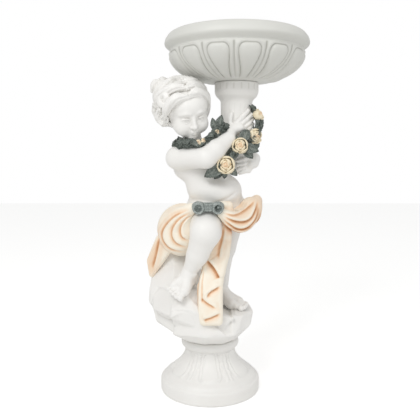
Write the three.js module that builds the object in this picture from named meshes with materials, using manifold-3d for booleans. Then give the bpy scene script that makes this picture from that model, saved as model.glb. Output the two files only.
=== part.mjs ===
// A cherub garden statue that carries a shallow planter bowl on a short column.
// Three pieces stand on each other: a turned foot, the figure's casting, and the hollow bowl.
// The casting is one body: rock, cherub, drapery, rose garland and column.
// Millimetres, +Z up. The origin is the centre of the foot's underside, and the figure faces -Y.
import * as THREE from "three";
import { ConvexGeometry } from "three/addons/geometries/ConvexGeometry.js";
import { mergeGeometries, mergeVertices } from "three/addons/utils/BufferGeometryUtils.js";
import Module from "manifold-3d";

// Driving dimensions of the foot.
const FOOT_DIAMETER = 284;
const FOOT_HEIGHT = 150;
const FOOT_BAND = 38; // upright edge of the foot's disc
const NECK_DIAMETER = 136;
const SEAT_DIAMETER = 166; // round moulding under the rock
const SEAT_MOULDING = 27;
const TONGUES = 6;
const TONGUE_RELIEF = 3.2;

// Driving dimensions of the casting.
const CAST_HEIGHT = 720; // from the rock's underside to the column's top
const COLUMN_X = 74; // the column stands to the right of the foot's axis
const COLUMN_Y = 10;
const COLUMN_DIAMETER = 88;
const COLUMN_LENGTH = 240;
const CAPITAL_DIAMETER = 122;
const CAPITAL_HEIGHT = 46;
const FLUTES = 12;
const FLUTE_DEPTH = 1.2;
const CLASP_LENGTH = 76;
const CLASP_DIAMETER = 34;
const ROSE_DIAMETER = 46;
const LEAF_LENGTH = 40;

// Driving dimensions of the bowl.
const BOWL_DIAMETER = 400;
const BOWL_HEIGHT = 131;
const BOWL_WALL = 14;
const BOWL_FLOOR = 18;
const LIP_HEIGHT = 34;
const LIP_OVERHANG = 13; // how far the lip stands out past the bowl's side
const LIP_TOP_WIDTH = 12;
const GADROONS = 12;
const GADROON_RELIEF = 7;
const GADROON_TURN = 12; // degrees from the front to the middle of a petal

const STACK_GAP = 0.3; // between pieces that stand on each other

// The sculpture's points are written for a casting 720 high and scaled to CAST_HEIGHT.
const SCALE = CAST_HEIGHT / 720;
const CLAY_CELL = 5;
const CLAY_TRIANGLES = 3700;
const CASTING_TRIANGLES = 5600;

const wasm = await Module();
wasm.setup();

const SHELL_WHITE = 0xeeefec;

// Vectors as plain arrays of three numbers.
const plus = (a, b) => a.map((v, i) => v + b[i]);
const minus = (a, b) => a.map((v, i) => v - b[i]);
const times = (a, s) => a.map((v) => v * s);
const dot = (a, b) => a[0] * b[0] + a[1] * b[1] + a[2] * b[2];
const cross = (a, b) => [
  a[1] * b[2] - a[2] * b[1],
  a[2] * b[0] - a[0] * b[2],
  a[0] * b[1] - a[1] * b[0],
];
const unit = (a) => times(a, 1 / Math.hypot(...a));
const mix = (a, b, t) => a.map((v, i) => v + (b[i] - v) * t);
const radians = (degrees) => (degrees * Math.PI) / 180;
const clamp01 = (t) => Math.min(1, Math.max(0, t));
const ease = (t) => clamp01(t) ** 2 * (3 - 2 * clamp01(t));

// The point of the column's surface at an angle, where -90 degrees faces the viewer.
function onColumn(degrees, z, lift = 0) {
  const reach = COLUMN_DIAMETER / 2 / SCALE + lift;
  const turn = radians(degrees);
  const centre = [COLUMN_X / SCALE, COLUMN_Y / SCALE];
  return [centre[0] + reach * Math.cos(turn), centre[1] + reach * Math.sin(turn), z];
}

// Forms for the clay: each has a box and a signed distance, negative inside.

// A limb with round ends that tapers from a to b.
function limb(a, radiusA, b, radiusB) {
  const most = Math.max(radiusA, radiusB);
  const along = minus(b, a);
  const span = dot(along, along) || 1;
  return {
    low: a.map((v, i) => Math.min(v, b[i]) - most),
    high: a.map((v, i) => Math.max(v, b[i]) + most),
    distance(x, y, z) {
      const dx = x - a[0];
      const dy = y - a[1];
      const dz = z - a[2];
      const t = clamp01((dx * along[0] + dy * along[1] + dz * along[2]) / span);
      const [ox, oy, oz] = [dx - t * along[0], dy - t * along[1], dz - t * along[2]];
      const off = Math.sqrt(ox * ox + oy * oy + oz * oz);
      return off - radiusA - t * (radiusB - radiusA);
    },
  };
}

// An ellipsoid turned about the upright axis, or set in a frame of three unit vectors.
function egg(centre, radii, turn = 0) {
  const c = Math.cos(radians(turn || 0));
  const s = Math.sin(radians(turn || 0));
  const axes = Array.isArray(turn) ? turn : [[c, s, 0], [-s, c, 0], [0, 0, 1]];
  const reach = [0, 1, 2].map((i) =>
    Math.hypot(radii[0] * axes[0][i], radii[1] * axes[1][i], radii[2] * axes[2][i]),
  );
  return {
    low: minus(centre, reach),
    high: plus(centre, reach),
    distance(x, y, z) {
      const [dx, dy, dz] = [x - centre[0], y - centre[1], z - centre[2]];
      let near = 0;
      let steep = 0;
      for (let i = 0; i < 3; i += 1) {
        const axis = axes[i];
        const p = (axis[0] * dx + axis[1] * dy + axis[2] * dz) / radii[i];
        near += p * p;
        steep += (p / radii[i]) ** 2;
      }
      const k0 = Math.sqrt(near);
      return steep > 0 ? (k0 * (k0 - 1)) / Math.sqrt(steep) : -Math.min(...radii);
    },
  };
}

const ball = (centre, radius) => limb(centre, radius, centre, radius);

// Limbs along a smooth curve through the points, with the radius eased from knot to knot.
function strand(points, radii, pieces = 10) {
  const curve = new THREE.CatmullRomCurve3(points.map((p) => new THREE.Vector3(...p)));
  const made = [];
  const radiusAt = (t) => {
    const place = t * (radii.length - 1);
    const knot = Math.min(radii.length - 2, Math.floor(place));
    return radii[knot] + (radii[knot + 1] - radii[knot]) * ease(place - knot);
  };
  for (let i = 0; i < pieces; i += 1) {
    const [s, t] = [i / pieces, (i + 1) / pieces];
    const ends = [s, t].map((v) => curve.getPoint(v).toArray());
    made.push(limb(ends[0], radiusAt(s), ends[1], radiusAt(t)));
  }
  return made;
}

// Clay is a grid of distances in which forms are melted together or carved out.
const FAR = 1000;

class Clay {
  constructor(low, high, cell) {
    this.low = low;
    this.cell = cell;
    this.count = low.map((v, i) => Math.ceil((high[i] - v) / cell) + 1);
    this.value = new Float32Array(this.count[0] * this.count[1] * this.count[2]).fill(FAR);
  }

  work(shape, reach, change) {
    const [nx, ny] = this.count;
    const from = shape.low.map((v, i) =>
      Math.max(0, Math.floor((v - reach - this.low[i]) / this.cell)),
    );
    const to = shape.high.map((v, i) =>
      Math.min(this.count[i] - 1, Math.ceil((v + reach - this.low[i]) / this.cell)),
    );
    for (let k = from[2]; k <= to[2]; k += 1) {
      for (let j = from[1]; j <= to[1]; j += 1) {
        for (let i = from[0]; i <= to[0]; i += 1) {
          const at = i + nx * (j + ny * k);
          const x = this.low[0] + i * this.cell;
          const y = this.low[1] + j * this.cell;
          const z = this.low[2] + k * this.cell;
          this.value[at] = change(this.value[at], shape.distance(x, y, z));
        }
      }
    }
  }

  add(shapes, melt = 0) {
    for (const shape of [shapes].flat()) {
      this.work(shape, melt + 2 * this.cell, (v, d) => melted(v, d, melt));
    }
  }

  carve(shapes, melt = 0) {
    for (const shape of [shapes].flat()) {
      this.work(shape, melt + 2 * this.cell, (v, d) => -melted(-v, d, melt));
    }
  }
}

// The smaller of two distances, rounded where they meet.
function melted(a, b, melt) {
  if (melt <= 0) return Math.min(a, b);
  const near = Math.max(melt - Math.abs(a - b), 0);
  return Math.min(a, b) - (near * near) / (4 * melt);
}

// Each cell of the grid as six tetrahedra about its main diagonal.
const TETRAHEDRA = [
  [0, 1, 3, 7],
  [0, 2, 6, 7],
  [0, 4, 5, 7],
  [0, 3, 2, 7],
  [0, 5, 1, 7],
  [0, 6, 4, 7],
];
const SINGLES = [[0, 1, 2, 3], [1, 0, 3, 2], [2, 0, 1, 3], [3, 0, 2, 1]];
const PAIRS = { 3: [0, 1, 2, 3], 5: [0, 2, 3, 1], 9: [0, 3, 1, 2] };
Object.assign(PAIRS, { 6: [1, 2, 0, 3], 10: [1, 3, 2, 0], 12: [2, 3, 0, 1] });

// The clay's surface as points and triangles that face out.
function skin(clay) {
  const [nx, ny, nz] = clay.count;
  const step = [0, 1, 2, 3, 4, 5, 6, 7].map(
    (bits) => (bits & 1) + nx * ((bits >> 1) & 1) + nx * ny * ((bits >> 2) & 1),
  );
  const points = [];
  const triangles = [];
  const known = new Map();
  const place = (at) => [at % nx, Math.floor(at / nx) % ny, Math.floor(at / (nx * ny))];
  const crossing = (base, p, q) => {
    const [lower, upper] = p < q ? [p, q] : [q, p];
    const key = (base + step[lower]) * 8 + (upper - lower);
    if (!known.has(key)) {
      const a = clay.value[base + step[lower]];
      const b = clay.value[base + step[upper]];
      const t = Math.min(0.96, Math.max(0.04, a / (a - b)));
      const grid = mix(place(base + step[lower]), place(base + step[upper]), t);
      known.set(key, points.length);
      points.push(plus(times(grid, clay.cell), clay.low));
    }
    return known.get(key);
  };
  for (let k = 0; k < nz - 1; k += 1) {
    for (let j = 0; j < ny - 1; j += 1) {
      for (let i = 0; i < nx - 1; i += 1) {
        const base = i + nx * (j + ny * k);
        const inside = step.map((s) => clay.value[base + s] < 0);
        if (inside.every((v) => v === inside[0])) continue;
        for (const tetra of TETRAHEDRA) {
          let mask = 0;
          tetra.forEach((corner, n) => {
            if (inside[corner]) mask |= 1 << n;
          });
          if (mask === 0 || mask === 15) continue;
          const cut = (order, m, n) => crossing(base, tetra[order[m]], tetra[order[n]]);
          const lone = [1, 2, 4, 8].indexOf(mask);
          const lack = [14, 13, 11, 7].indexOf(mask);
          if (lone >= 0) {
            const o = SINGLES[lone];
            triangles.push([cut(o, 0, 1), cut(o, 0, 2), cut(o, 0, 3)]);
          } else if (lack >= 0) {
            const o = SINGLES[lack];
            triangles.push([cut(o, 0, 1), cut(o, 0, 3), cut(o, 0, 2)]);
          } else {
            const o = PAIRS[mask];
            const ring = [cut(o, 0, 2), cut(o, 0, 3), cut(o, 1, 3), cut(o, 1, 2)];
            triangles.push([ring[0], ring[1], ring[2]], [ring[0], ring[2], ring[3]]);
          }
        }
      }
    }
  }
  return { points, triangles };
}

// The error of a point against the planes that a vertex stands for, as ten sums.
function planeError(q, [x, y, z]) {
  return (
    q[0] * x * x + 2 * q[1] * x * y + 2 * q[2] * x * z + 2 * q[3] * x +
    q[4] * y * y + 2 * q[5] * y * z + 2 * q[6] * y +
    q[7] * z * z + 2 * q[8] * z + q[9]
  );
}

// The point that fits the planes best, or null where they don't fix one.
function bestPoint(q) {
  const c00 = q[4] * q[7] - q[5] * q[5];
  const c01 = q[2] * q[5] - q[1] * q[7];
  const c02 = q[1] * q[5] - q[2] * q[4];
  const c11 = q[0] * q[7] - q[2] * q[2];
  const c12 = q[1] * q[2] - q[0] * q[5];
  const c22 = q[0] * q[4] - q[1] * q[1];
  const whole = q[0] * c00 + q[1] * c01 + q[2] * c02;
  if (Math.abs(whole) < 1e-4 * (q[0] + q[4] + q[7]) ** 3) return null;
  return [
    -(c00 * q[3] + c01 * q[6] + c02 * q[8]) / whole,
    -(c01 * q[3] + c11 * q[6] + c12 * q[8]) / whole,
    -(c02 * q[3] + c12 * q[6] + c22 * q[8]) / whole,
  ];
}

// The normal of a triangle, twice as long as its area.
function normalOf(a, b, c) {
  const [ux, uy, uz] = [b[0] - a[0], b[1] - a[1], b[2] - a[2]];
  const [vx, vy, vz] = [c[0] - a[0], c[1] - a[1], c[2] - a[2]];
  return [uy * vz - uz * vy, uz * vx - ux * vz, ux * vy - uy * vx];
}

function lengthBetween(a, b) {
  const [x, y, z] = [a[0] - b[0], a[1] - b[1], a[2] - b[2]];
  return Math.sqrt(x * x + y * y + z * z);
}

// A queue that gives back the entry of least cost first.
class CheapestFirst {
  constructor() {
    this.heap = [];
  }

  push(entry) {
    const { heap } = this;
    let i = heap.push(entry) - 1;
    while (i > 0) {
      const up = (i - 1) >> 1;
      if (heap[up].cost <= heap[i].cost) break;
      [heap[up], heap[i]] = [heap[i], heap[up]];
      i = up;
    }
  }

  pop() {
    const { heap } = this;
    const top = heap[0];
    const last = heap.pop();
    if (heap.length) {
      heap[0] = last;
      let i = 0;
      for (;;) {
        const left = 2 * i + 1;
        let least = i;
        if (left < heap.length && heap[left].cost < heap[least].cost) least = left;
        if (left + 1 < heap.length && heap[left + 1].cost < heap[least].cost) least = left + 1;
        if (least === i) break;
        [heap[least], heap[i]] = [heap[i], heap[least]];
        i = least;
      }
    }
    return top;
  }
}

// Closes up the edges that change the form least, until few enough triangles are left.
function thinned({ points, triangles }, wanted) {
  const faces = triangles.map((t) => t.slice());
  const around = points.map(() => []);
  const sums = points.map(() => new Float64Array(10));
  const version = new Uint32Array(points.length);
  faces.forEach((face, f) => {
    const normal = normalOf(points[face[0]], points[face[1]], points[face[2]]);
    const area = Math.hypot(...normal) / 2;
    if (area > 0) {
      const [a, b, c] = times(normal, 0.5 / area);
      const d = -dot([a, b, c], points[face[0]]);
      const own = [a * a, a * b, a * c, a * d, b * b, b * c, b * d, c * c, c * d, d * d];
      for (const v of face) for (let i = 0; i < 10; i += 1) sums[v][i] += own[i] * area;
    }
    for (const v of face) around[v].push(f);
  });
  const neighbours = (v) => {
    const found = [];
    for (const f of around[v]) {
      for (const w of faces[f]) if (w !== v && !found.includes(w)) found.push(w);
    }
    return found;
  };
  const both = new Float64Array(10);
  const fit = (a, b) => {
    for (let i = 0; i < 10; i += 1) both[i] = sums[a][i] + sums[b][i];
    const [p, q] = [points[a], points[b]];
    const middle = [(p[0] + q[0]) / 2, (p[1] + q[1]) / 2, (p[2] + q[2]) / 2];
    const length = lengthBetween(p, q);
    let to = bestPoint(both);
    if (!to || lengthBetween(to, middle) > length) to = middle;
    return { to, cost: planeError(both, to) + 1e-3 * length ** 3 };
  };
  const queue = new CheapestFirst();
  const offer = (a, b) => {
    queue.push({ cost: fit(a, b).cost, a, b, seen: version[a] + version[b] });
  };
  points.forEach((_, v) => {
    for (const w of neighbours(v)) if (v < w) offer(v, w);
  });
  const flips = (v, other, to) => {
    for (const f of around[v]) {
      const face = faces[f];
      if (face.includes(other)) continue;
      const [p, q, r] = [points[face[0]], points[face[1]], points[face[2]]];
      const [s, t, u] = [face[0] === v ? to : p, face[1] === v ? to : q, face[2] === v ? to : r];
      const before = normalOf(p, q, r);
      const after = normalOf(s, t, u);
      const big = Math.sqrt(dot(after, after));
      if (dot(before, after) < 0.3 * Math.sqrt(dot(before, before)) * big) return true;
      const longest = Math.max(lengthBetween(s, t), lengthBetween(t, u), lengthBetween(u, s));
      if (big < 0.06 * longest * longest) return true;
    }
    return false;
  };
  let left = faces.length;
  while (left > wanted && queue.heap.length) {
    const { a, b, seen } = queue.pop();
    if (!around[a] || !around[b] || seen !== version[a] + version[b]) continue;
    const near = neighbours(a);
    if (!near.includes(b)) continue;
    const shared = neighbours(b).filter((v) => near.includes(v)).length;
    if (shared !== 2) continue;
    const { to } = fit(a, b);
    if (flips(a, b, to) || flips(b, a, to)) continue;
    for (const f of around[b]) {
      if (faces[f].includes(a)) {
        for (const v of faces[f]) if (v !== b) around[v].splice(around[v].indexOf(f), 1);
        faces[f] = null;
        left -= 1;
      } else {
        faces[f][faces[f].indexOf(b)] = a;
        around[a].push(f);
      }
    }
    around[b] = null;
    points[a] = to;
    for (let i = 0; i < 10; i += 1) sums[a][i] += sums[b][i];
    version[a] += 1;
    for (const v of neighbours(a)) offer(a, v);
  }
  return { points, triangles: faces.filter(Boolean) };
}

// Points and triangles as a geometry, without the points that nothing uses.
function geometryOf({ points, triangles }) {
  const used = new Map();
  const positions = [];
  const index = triangles.flat().map((v) => {
    if (!used.has(v)) {
      used.set(v, used.size);
      positions.push(...points[v]);
    }
    return used.get(v);
  });
  return new THREE.BufferGeometry()
    .setAttribute("position", new THREE.Float32BufferAttribute(positions, 3))
    .setIndex(index);
}

// A closed geometry as a manifold-3d solid.
function solidOf(geometry) {
  const bare = geometry.clone();
  for (const name of ["normal", "uv"]) bare.deleteAttribute(name);
  const merged = mergeVertices(bare, 1e-3);
  return new wasm.Manifold(
    new wasm.Mesh({
      numProp: 3,
      vertProperties: new Float32Array(merged.attributes.position.array),
      triVerts: new Uint32Array(merged.index.array),
    }),
  );
}

const joined = (geometries) => geometries.map(solidOf).reduce((all, one) => all.add(one));

// The largest connected skin of a geometry: a pocket shut in between leaves is filled.
function outerSkin(geometry) {
  const index = geometry.index.array;
  const leader = Array.from({ length: geometry.attributes.position.count }, (_, v) => v);
  const leaderOf = (v) => {
    let at = v;
    while (leader[at] !== at) at = leader[at];
    leader[v] = at;
    return at;
  };
  for (let i = 0; i < index.length; i += 3) {
    leader[leaderOf(index[i + 1])] = leaderOf(index[i]);
    leader[leaderOf(index[i + 2])] = leaderOf(index[i]);
  }
  const sizes = new Map();
  for (const v of index) sizes.set(leaderOf(v), (sizes.get(leaderOf(v)) || 0) + 1);
  const largest = [...sizes].sort((a, b) => b[1] - a[1])[0][0];
  const triangles = [];
  for (let i = 0; i < index.length; i += 3) {
    if (leaderOf(index[i]) === largest) triangles.push([...index.slice(i, i + 3)]);
  }
  const at = geometry.attributes.position.array;
  const points = leader.map((_, v) => [at[3 * v], at[3 * v + 1], at[3 * v + 2]]);
  return { points, triangles };
}

function geometryOfSolid(solid) {
  const mesh = solid.getMesh();
  const positions = new Float32Array(mesh.numVert * 3);
  for (let v = 0; v < mesh.numVert; v += 1) {
    for (let i = 0; i < 3; i += 1) positions[3 * v + i] = mesh.vertProperties[mesh.numProp * v + i];
  }
  return new THREE.BufferGeometry()
    .setAttribute("position", new THREE.BufferAttribute(positions, 3))
    .setIndex(new THREE.BufferAttribute(mesh.triVerts, 1));
}

// A turned solid about the upright axis, whose profile runs from the axis below to the axis above.
// The relief moves a point out by its angle and height.
function turned(profile, segments, relief = () => 0) {
  const outline = profile.map(([r, z]) => new THREE.Vector2(r, z));
  const geometry = new THREE.LatheGeometry(outline, segments).rotateX(Math.PI / 2);
  const at = geometry.attributes.position;
  for (let v = 0; v < at.count; v += 1) {
    const radius = Math.hypot(at.getX(v), at.getY(v));
    if (radius < 1e-6) continue;
    const turn = Math.atan2(at.getY(v), at.getX(v));
    const grow = 1 + relief(turn, at.getZ(v), radius) / radius;
    at.setXYZ(v, at.getX(v) * grow, at.getY(v) * grow, at.getZ(v));
  }
  return geometry;
}

// How far an angle is from the nearest of the pattern's centres, as a share of half the pitch.
function fromCentre(turn, copies, firstDegrees) {
  const pitch = (2 * Math.PI) / copies;
  const off = (turn - radians(firstDegrees)) / pitch;
  return Math.abs(off - Math.round(off)) * 2;
}

// The foot: a disc, a flared stem with raised tongues and leaf sprays between, and a round moulding.
const FOOT_SEGMENTS = 48;
const FLARE_BASE = 54; // height where the flare rises from the disc

function footGeometry() {
  const disc = FOOT_DIAMETER / 2;
  const neck = NECK_DIAMETER / 2;
  const seat = SEAT_DIAMETER / 2;
  const stemTop = FOOT_HEIGHT - SEAT_MOULDING;
  const flareBase = FOOT_BAND + (FLARE_BASE - 38);
  const flareRadius = disc - 26;
  const flare = [1, 0.82, 0.64, 0.46, 0.28, 0.1].map((t) => {
    const height = flareBase + (stemTop - flareBase) * (1 - t);
    return [neck + (flareRadius - neck) * t ** 2.1, height];
  });
  const profile = [
    [0, 0],
    [disc - 1.5, 0],
    [disc, 3],
    [disc, FOOT_BAND - 4],
    [disc - 5, FOOT_BAND],
    [disc - 9, FOOT_BAND + 1],
    [disc - 10, FOOT_BAND + 6],
    [disc - 14, FOOT_BAND + 10],
    ...flare,
    [neck + 3, stemTop],
    [seat - 3, stemTop + 6],
    [seat, stemTop + 14],
    [seat - 2, FOOT_HEIGHT - 4],
    [seat - 7, FOOT_HEIGHT],
    [0, FOOT_HEIGHT],
  ];
  const relief = (turn, z) => {
    const up = clamp01((z - flareBase) / (stemTop - flareBase));
    if (z < flareBase - 1 || z > stemTop - 1) return 0;
    const across = fromCentre(turn, TONGUES, -90);
    const tongue = across < 0.6 ? 1 : 0;
    const spray = across > 0.7 ? 0.8 * ease(up * 3) : 0;
    return TONGUE_RELIEF * (tongue + (across > 0.9 ? spray : -0.3)) * ease(up * 8) * ease((1 - up) * 8);
  };
  return turned(profile, FOOT_SEGMENTS, relief);
}

// The bowl: a gadrooned body under a broad lip, hollowed to its wall.
const BOWL_SEGMENTS = 72;

function bowlGeometry() {
  const rim = BOWL_DIAMETER / 2;
  const side = rim - LIP_OVERHANG;
  const seat = CAPITAL_DIAMETER / 2 - 2;
  const bodyTop = BOWL_HEIGHT - LIP_HEIGHT - 14;
  const bodyRings = 7;
  const body = [];
  for (let i = 1; i <= bodyRings; i += 1) {
    const a = (i / bodyRings) * 1.5;
    body.push([seat + (side - seat) * Math.sin(a), bodyTop * (1 - Math.cos(a)) ** 0.92]);
  }
  const top = BOWL_HEIGHT;
  const outside = [
    [0, 0],
    [seat, 0],
    ...body,
    [side - 4, bodyTop + 3],
    [rim - 3, top - LIP_HEIGHT],
    [rim, top - LIP_HEIGHT + 5],
    [rim - 3, top - LIP_HEIGHT * 0.5],
    [rim - 11, top - 6],
    [rim - 20, top],
    [0, top],
  ];
  const petals = (turn, z) => {
    if (z < 2 || z > bodyTop - 4) return 0;
    const up = z / bodyTop;
    const across = fromCentre(turn, GADROONS, 0);
    const swell = across < 0.7 ? Math.cos(across * 1.9) ** 0.7 : -0.45;
    return GADROON_RELIEF * swell * ease(up * 3) * ease((1 - up) * 6);
  };
  const inner = rim - 20 - LIP_TOP_WIDTH;
  const inside = [[0, BOWL_FLOOR], [inner * 0.42, BOWL_FLOOR + 2], [inner * 0.72, BOWL_FLOOR + 16]];
  const deep = side - BOWL_WALL - 4;
  inside.push([Math.min(inner, deep), bodyTop - 4], [inner, top - 8], [inner + 6, top + 5], [0, top + 5]);
  const body3 = solidOf(turned(outside, BOWL_SEGMENTS, petals));
  const hollow = solidOf(turned(inside, BOWL_SEGMENTS / 2));
  return geometryOfSolid(body3.subtract(hollow)).rotateZ(radians(GADROON_TURN - 90));
}

// The rock that the cherub stands on, as blocks with flat broken faces.
function rockGeometries() {
  const seat = SEAT_DIAMETER / 2 / SCALE - 4;
  const seatRing = [];
  for (let i = 0; i < 10; i += 1) {
    const turn = radians(36 * i + 8);
    seatRing.push([seat * Math.cos(turn), seat * Math.sin(turn), 0]);
  }
  const ledge = [
    [-150, -62, 62], [-96, -128, 44], [-8, -142, 40], [66, -118, 38], [112, -66, 52],
    [122, 22, 50], [84, 92, 48], [6, 118, 44], [-84, 104, 52], [-140, 44, 66],
    [-168, -34, 112], [-150, 52, 120], [-70, -132, 96], [20, -112, 92], [92, -82, 84],
    [122, -36, 86], [112, 52, 88], [40, 94, 92], [-60, 96, 104],
  ];
  const outcrop = [
    [-172, -46, 116], [-158, -92, 104], [-98, -158, 98], [-42, -140, 116], [-30, -70, 186],
    [-46, 0, 258], [-104, -14, 262], [-164, -20, 184], [-150, 60, 130], [-30, 62, 120],
    [10, 20, 96], [-120, -60, 60], [-60, 60, 200], [-170, -40, 150],
  ];
  const shelf = [
    [-20, -128, 44], [34, -122, 52], [66, -112, 88], [-44, -126, 120], [-40, -60, 130],
    [40, -40, 88], [10, -60, 30], [60, -70, 40],
  ];
  return [[...seatRing, ...ledge], outcrop, shelf].map(
    (points) => new ConvexGeometry(points.map((p) => new THREE.Vector3(...p))),
  );
}

// The column with its cup-shaped capital, fluted all round.
function columnGeometry() {
  const shaft = COLUMN_DIAMETER / 2;
  const cup = CAPITAL_DIAMETER / 2;
  const bottom = CAST_HEIGHT - COLUMN_LENGTH;
  const under = CAST_HEIGHT - CAPITAL_HEIGHT;
  const profile = [
    [0, bottom - 14],
    [shaft, bottom],
    [shaft, under - 6],
    [shaft + 3, under],
    [shaft + (cup - shaft) * 0.75, under + 9],
    [cup, under + 20],
    [cup, CAST_HEIGHT],
    [0, CAST_HEIGHT],
  ];
  const flutes = (turn, z, radius) => {
    if (radius < shaft - 1 || z > CAST_HEIGHT - 3) return 0;
    return -FLUTE_DEPTH * (1 - Math.min(1, fromCentre(turn, FLUTES, 0) * 1.6));
  };
  return turned(profile, FLUTES * 2, flutes).translate(COLUMN_X, COLUMN_Y, 0);
}

// The head's own frame: x to the viewer's right, y back, z up. It is turned to the right, bowed, and
// leans to the left.
const HEAD = [-63, -58, 638];
const HEAD_TURN = 23;
const HEAD_BOW = 24;
const HEAD_LEAN = 11;
const HEAD_PLACE = new THREE.Matrix4()
  .makeRotationZ(radians(HEAD_TURN))
  .multiply(new THREE.Matrix4().makeRotationX(radians(HEAD_BOW)))
  .multiply(new THREE.Matrix4().makeRotationY(radians(-HEAD_LEAN)));
const HEAD_AXES = [0, 1, 2].map((i) => HEAD_PLACE.elements.slice(4 * i, 4 * i + 3));
const [HEAD_RIGHT, HEAD_BACK, HEAD_UP] = HEAD_AXES;

function onHead(x, y, z) {
  return plus(
    HEAD,
    plus(times(HEAD_RIGHT, x), plus(times(HEAD_BACK, y), times(HEAD_UP, z))),
  );
}

const headEgg = (centre, radii) => egg(onHead(...centre), radii, HEAD_AXES);

// A point on the hair, by its bearing from the face and its height in degrees.
function onHair(bearing, height, lift = 0) {
  const [a, e] = [radians(bearing), radians(height)];
  const [x, y, z] = [Math.sin(a) * Math.cos(e), -Math.cos(a) * Math.cos(e), Math.sin(e)];
  return onHead(x * (66 + lift) - 9, 14 + y * (70 + lift), 16 + z * (63 + lift));
}

function addHead(clay) {
  clay.add(headEgg([0, 8, 14], [57, 64, 60]), 0);
  clay.add(headEgg([0, -16, -20], [47, 44, 46]), 14);
  clay.add(headEgg([0, -22, 24], [45, 40, 32]), 12);
  for (const side of [-1, 1]) {
    clay.add(ball(onHead(side * 25, -38, -26), 21), 12);
    clay.carve(headEgg([side * 20, -66, -3], [13, 10, 8]), 7);
    clay.add(ball(onHead(side * 20, -47, -4), 10), 2);
    clay.add(limb(onHead(side * 8, -61, 7), 5, onHead(side * 32, -50, 7), 4), 6);
    clay.add(ball(onHead(side * 6, -64, -21), 4.5), 3);
  }
  clay.add(limb(onHead(0, -59, 0), 5, onHead(0, -68, -19), 6.5), 5);
  clay.add(limb(onHead(-8, -60, -35), 4, onHead(8, -60, -35), 4), 3);
  clay.add(limb(onHead(-6, -58, -41), 4, onHead(6, -58, -41), 4), 3);
  clay.add(ball(onHead(0, -47, -54), 13), 9);
}

// Locks of hair: bearings and heights along each lock, with its thickest radius.
const FRONT_LOCKS = [
  [[2, 42], [34, 46], [62, 22], [74, -6]],
  [[-4, 42], [-34, 44], [-62, 18], [-74, -10]],
  [[6, 58], [46, 58], [82, 32], [94, -2]],
  [[-8, 60], [-48, 58], [-84, 30], [-96, 2]],
  [[20, 78], [70, 66], [108, 34], [116, 0]],
  [[74, 0], [84, -18], [76, -34], [90, -46]],
  [[-74, 0], [-84, -20], [-76, -34], [-92, -46]],
  [[100, 6], [110, -16], [104, -34], [116, -48]],
  [[-100, 6], [-110, -16], [-104, -36], [-116, -48]],
];
const BACK_LOCKS = 7;
const TOPKNOT = [-136, -36, 700];

function addHair(clay) {
  clay.add(headEgg([-9, 20, 20], [68, 62, 56]), 4);
  for (const lock of FRONT_LOCKS) {
    const points = lock.map(([bearing, height]) => onHair(bearing, height, 3));
    clay.add(strand(points, [8, 13, 12, 8], 6), 4);
  }
  for (let i = 0; i < BACK_LOCKS; i += 1) {
    const bearing = 126 + (108 * i) / (BACK_LOCKS - 1);
    const points = [66, 30, -6, -36].map((height, n) =>
      onHair(bearing + (n % 2 ? 8 : -5), height, 2),
    );
    clay.add(strand(points, [11, 13, 12, 8], 6), 4);
  }
  clay.add(ball(TOPKNOT, 24), 8);
  clay.add(strand([[14, -14, 2], [8, 2, 16], [22, 8, 8], [36, 6, 12]].map((p) => plus(TOPKNOT, p)), [15, 17, 17, 13], 4), 5);
}

const SHOULDER = { right: [-88, -48, 513], left: [2, 32, 519] };
const ELBOW = { right: [-10, -104, 513], left: [102, 80, 500] };
const WRIST = { right: [50, -66, 566], left: onColumn(-8, 510, 6) };
const HIP = { right: [-12, -8, 366], left: [50, 12, 366] };
const KNEE = { right: [-11, -122, 321], left: [42, 8, 258] };
const ANKLE = { right: [-55, -98, 210], left: [33, 16, 132] };
const CHEST_TURN = 42;

function addTorso(clay) {
  clay.add(egg([-42, -10, 506], [56, 44, 50], CHEST_TURN), 0);
  clay.add(egg([-12, -8, 464], [66, 54, 52], CHEST_TURN), 20);
  clay.add(egg([13, -6, 424], [82, 66, 50], CHEST_TURN), 18);
  clay.add(egg([26, -22, 412], [62, 56, 42], CHEST_TURN), 16);
  clay.add(egg([17, 4, 376], [82, 70, 50], 12), 14);
  clay.add(ball([-14, 40, 366], 44), 12);
  clay.add(ball([48, 44, 364], 44), 12);
  clay.add(limb([-44, -10, 535], 27, [-52, -40, 586], 25), 14);
  clay.add(limb(SHOULDER.right, 30, [-46, -14, 530], 26), 14);
  clay.add(limb(SHOULDER.left, 29, [-40, -4, 530], 26), 14);
}

function addArms(clay) {
  clay.add(limb(SHOULDER.right, 31, ELBOW.right, 27), 8);
  clay.add(limb(ELBOW.right, 27, mix(ELBOW.right, WRIST.right, 0.4), 27), 6);
  clay.add(limb(mix(ELBOW.right, WRIST.right, 0.4), 27, WRIST.right, 19), 6);
  clay.add(limb(SHOULDER.left, 30, ELBOW.left, 25), 8);
  clay.add(limb(ELBOW.left, 25, WRIST.left, 18), 6);
}

// Each hand: a palm and fingers that lie on the column, by angle and height.
const HANDS = [
  {
    wrist: WRIST.right,
    palm: [onColumn(-98, 592, 12), onColumn(-84, 606, 11)],
    fingers: [
      [[-106, 608], [-104, 626], [-100, 642]],
      [[-84, 616], [-72, 632], [-60, 648]],
      [[-76, 614], [-58, 626], [-42, 638]],
      [[-72, 606], [-52, 616], [-34, 626]],
      [[-70, 598], [-54, 604], [-38, 612]],
    ],
    radius: 7.5,
  },
  {
    wrist: WRIST.left,
    palm: [onColumn(-44, 506, 8), onColumn(-58, 500, 10)],
    fingers: [
      [[-62, 516], [-80, 516], [-96, 512]],
      [[-62, 506], [-82, 503], [-100, 500]],
      [[-62, 497], [-82, 492], [-100, 488]],
      [[-60, 488], [-78, 482], [-94, 477]],
    ],
    radius: 7,
  },
];

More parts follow.
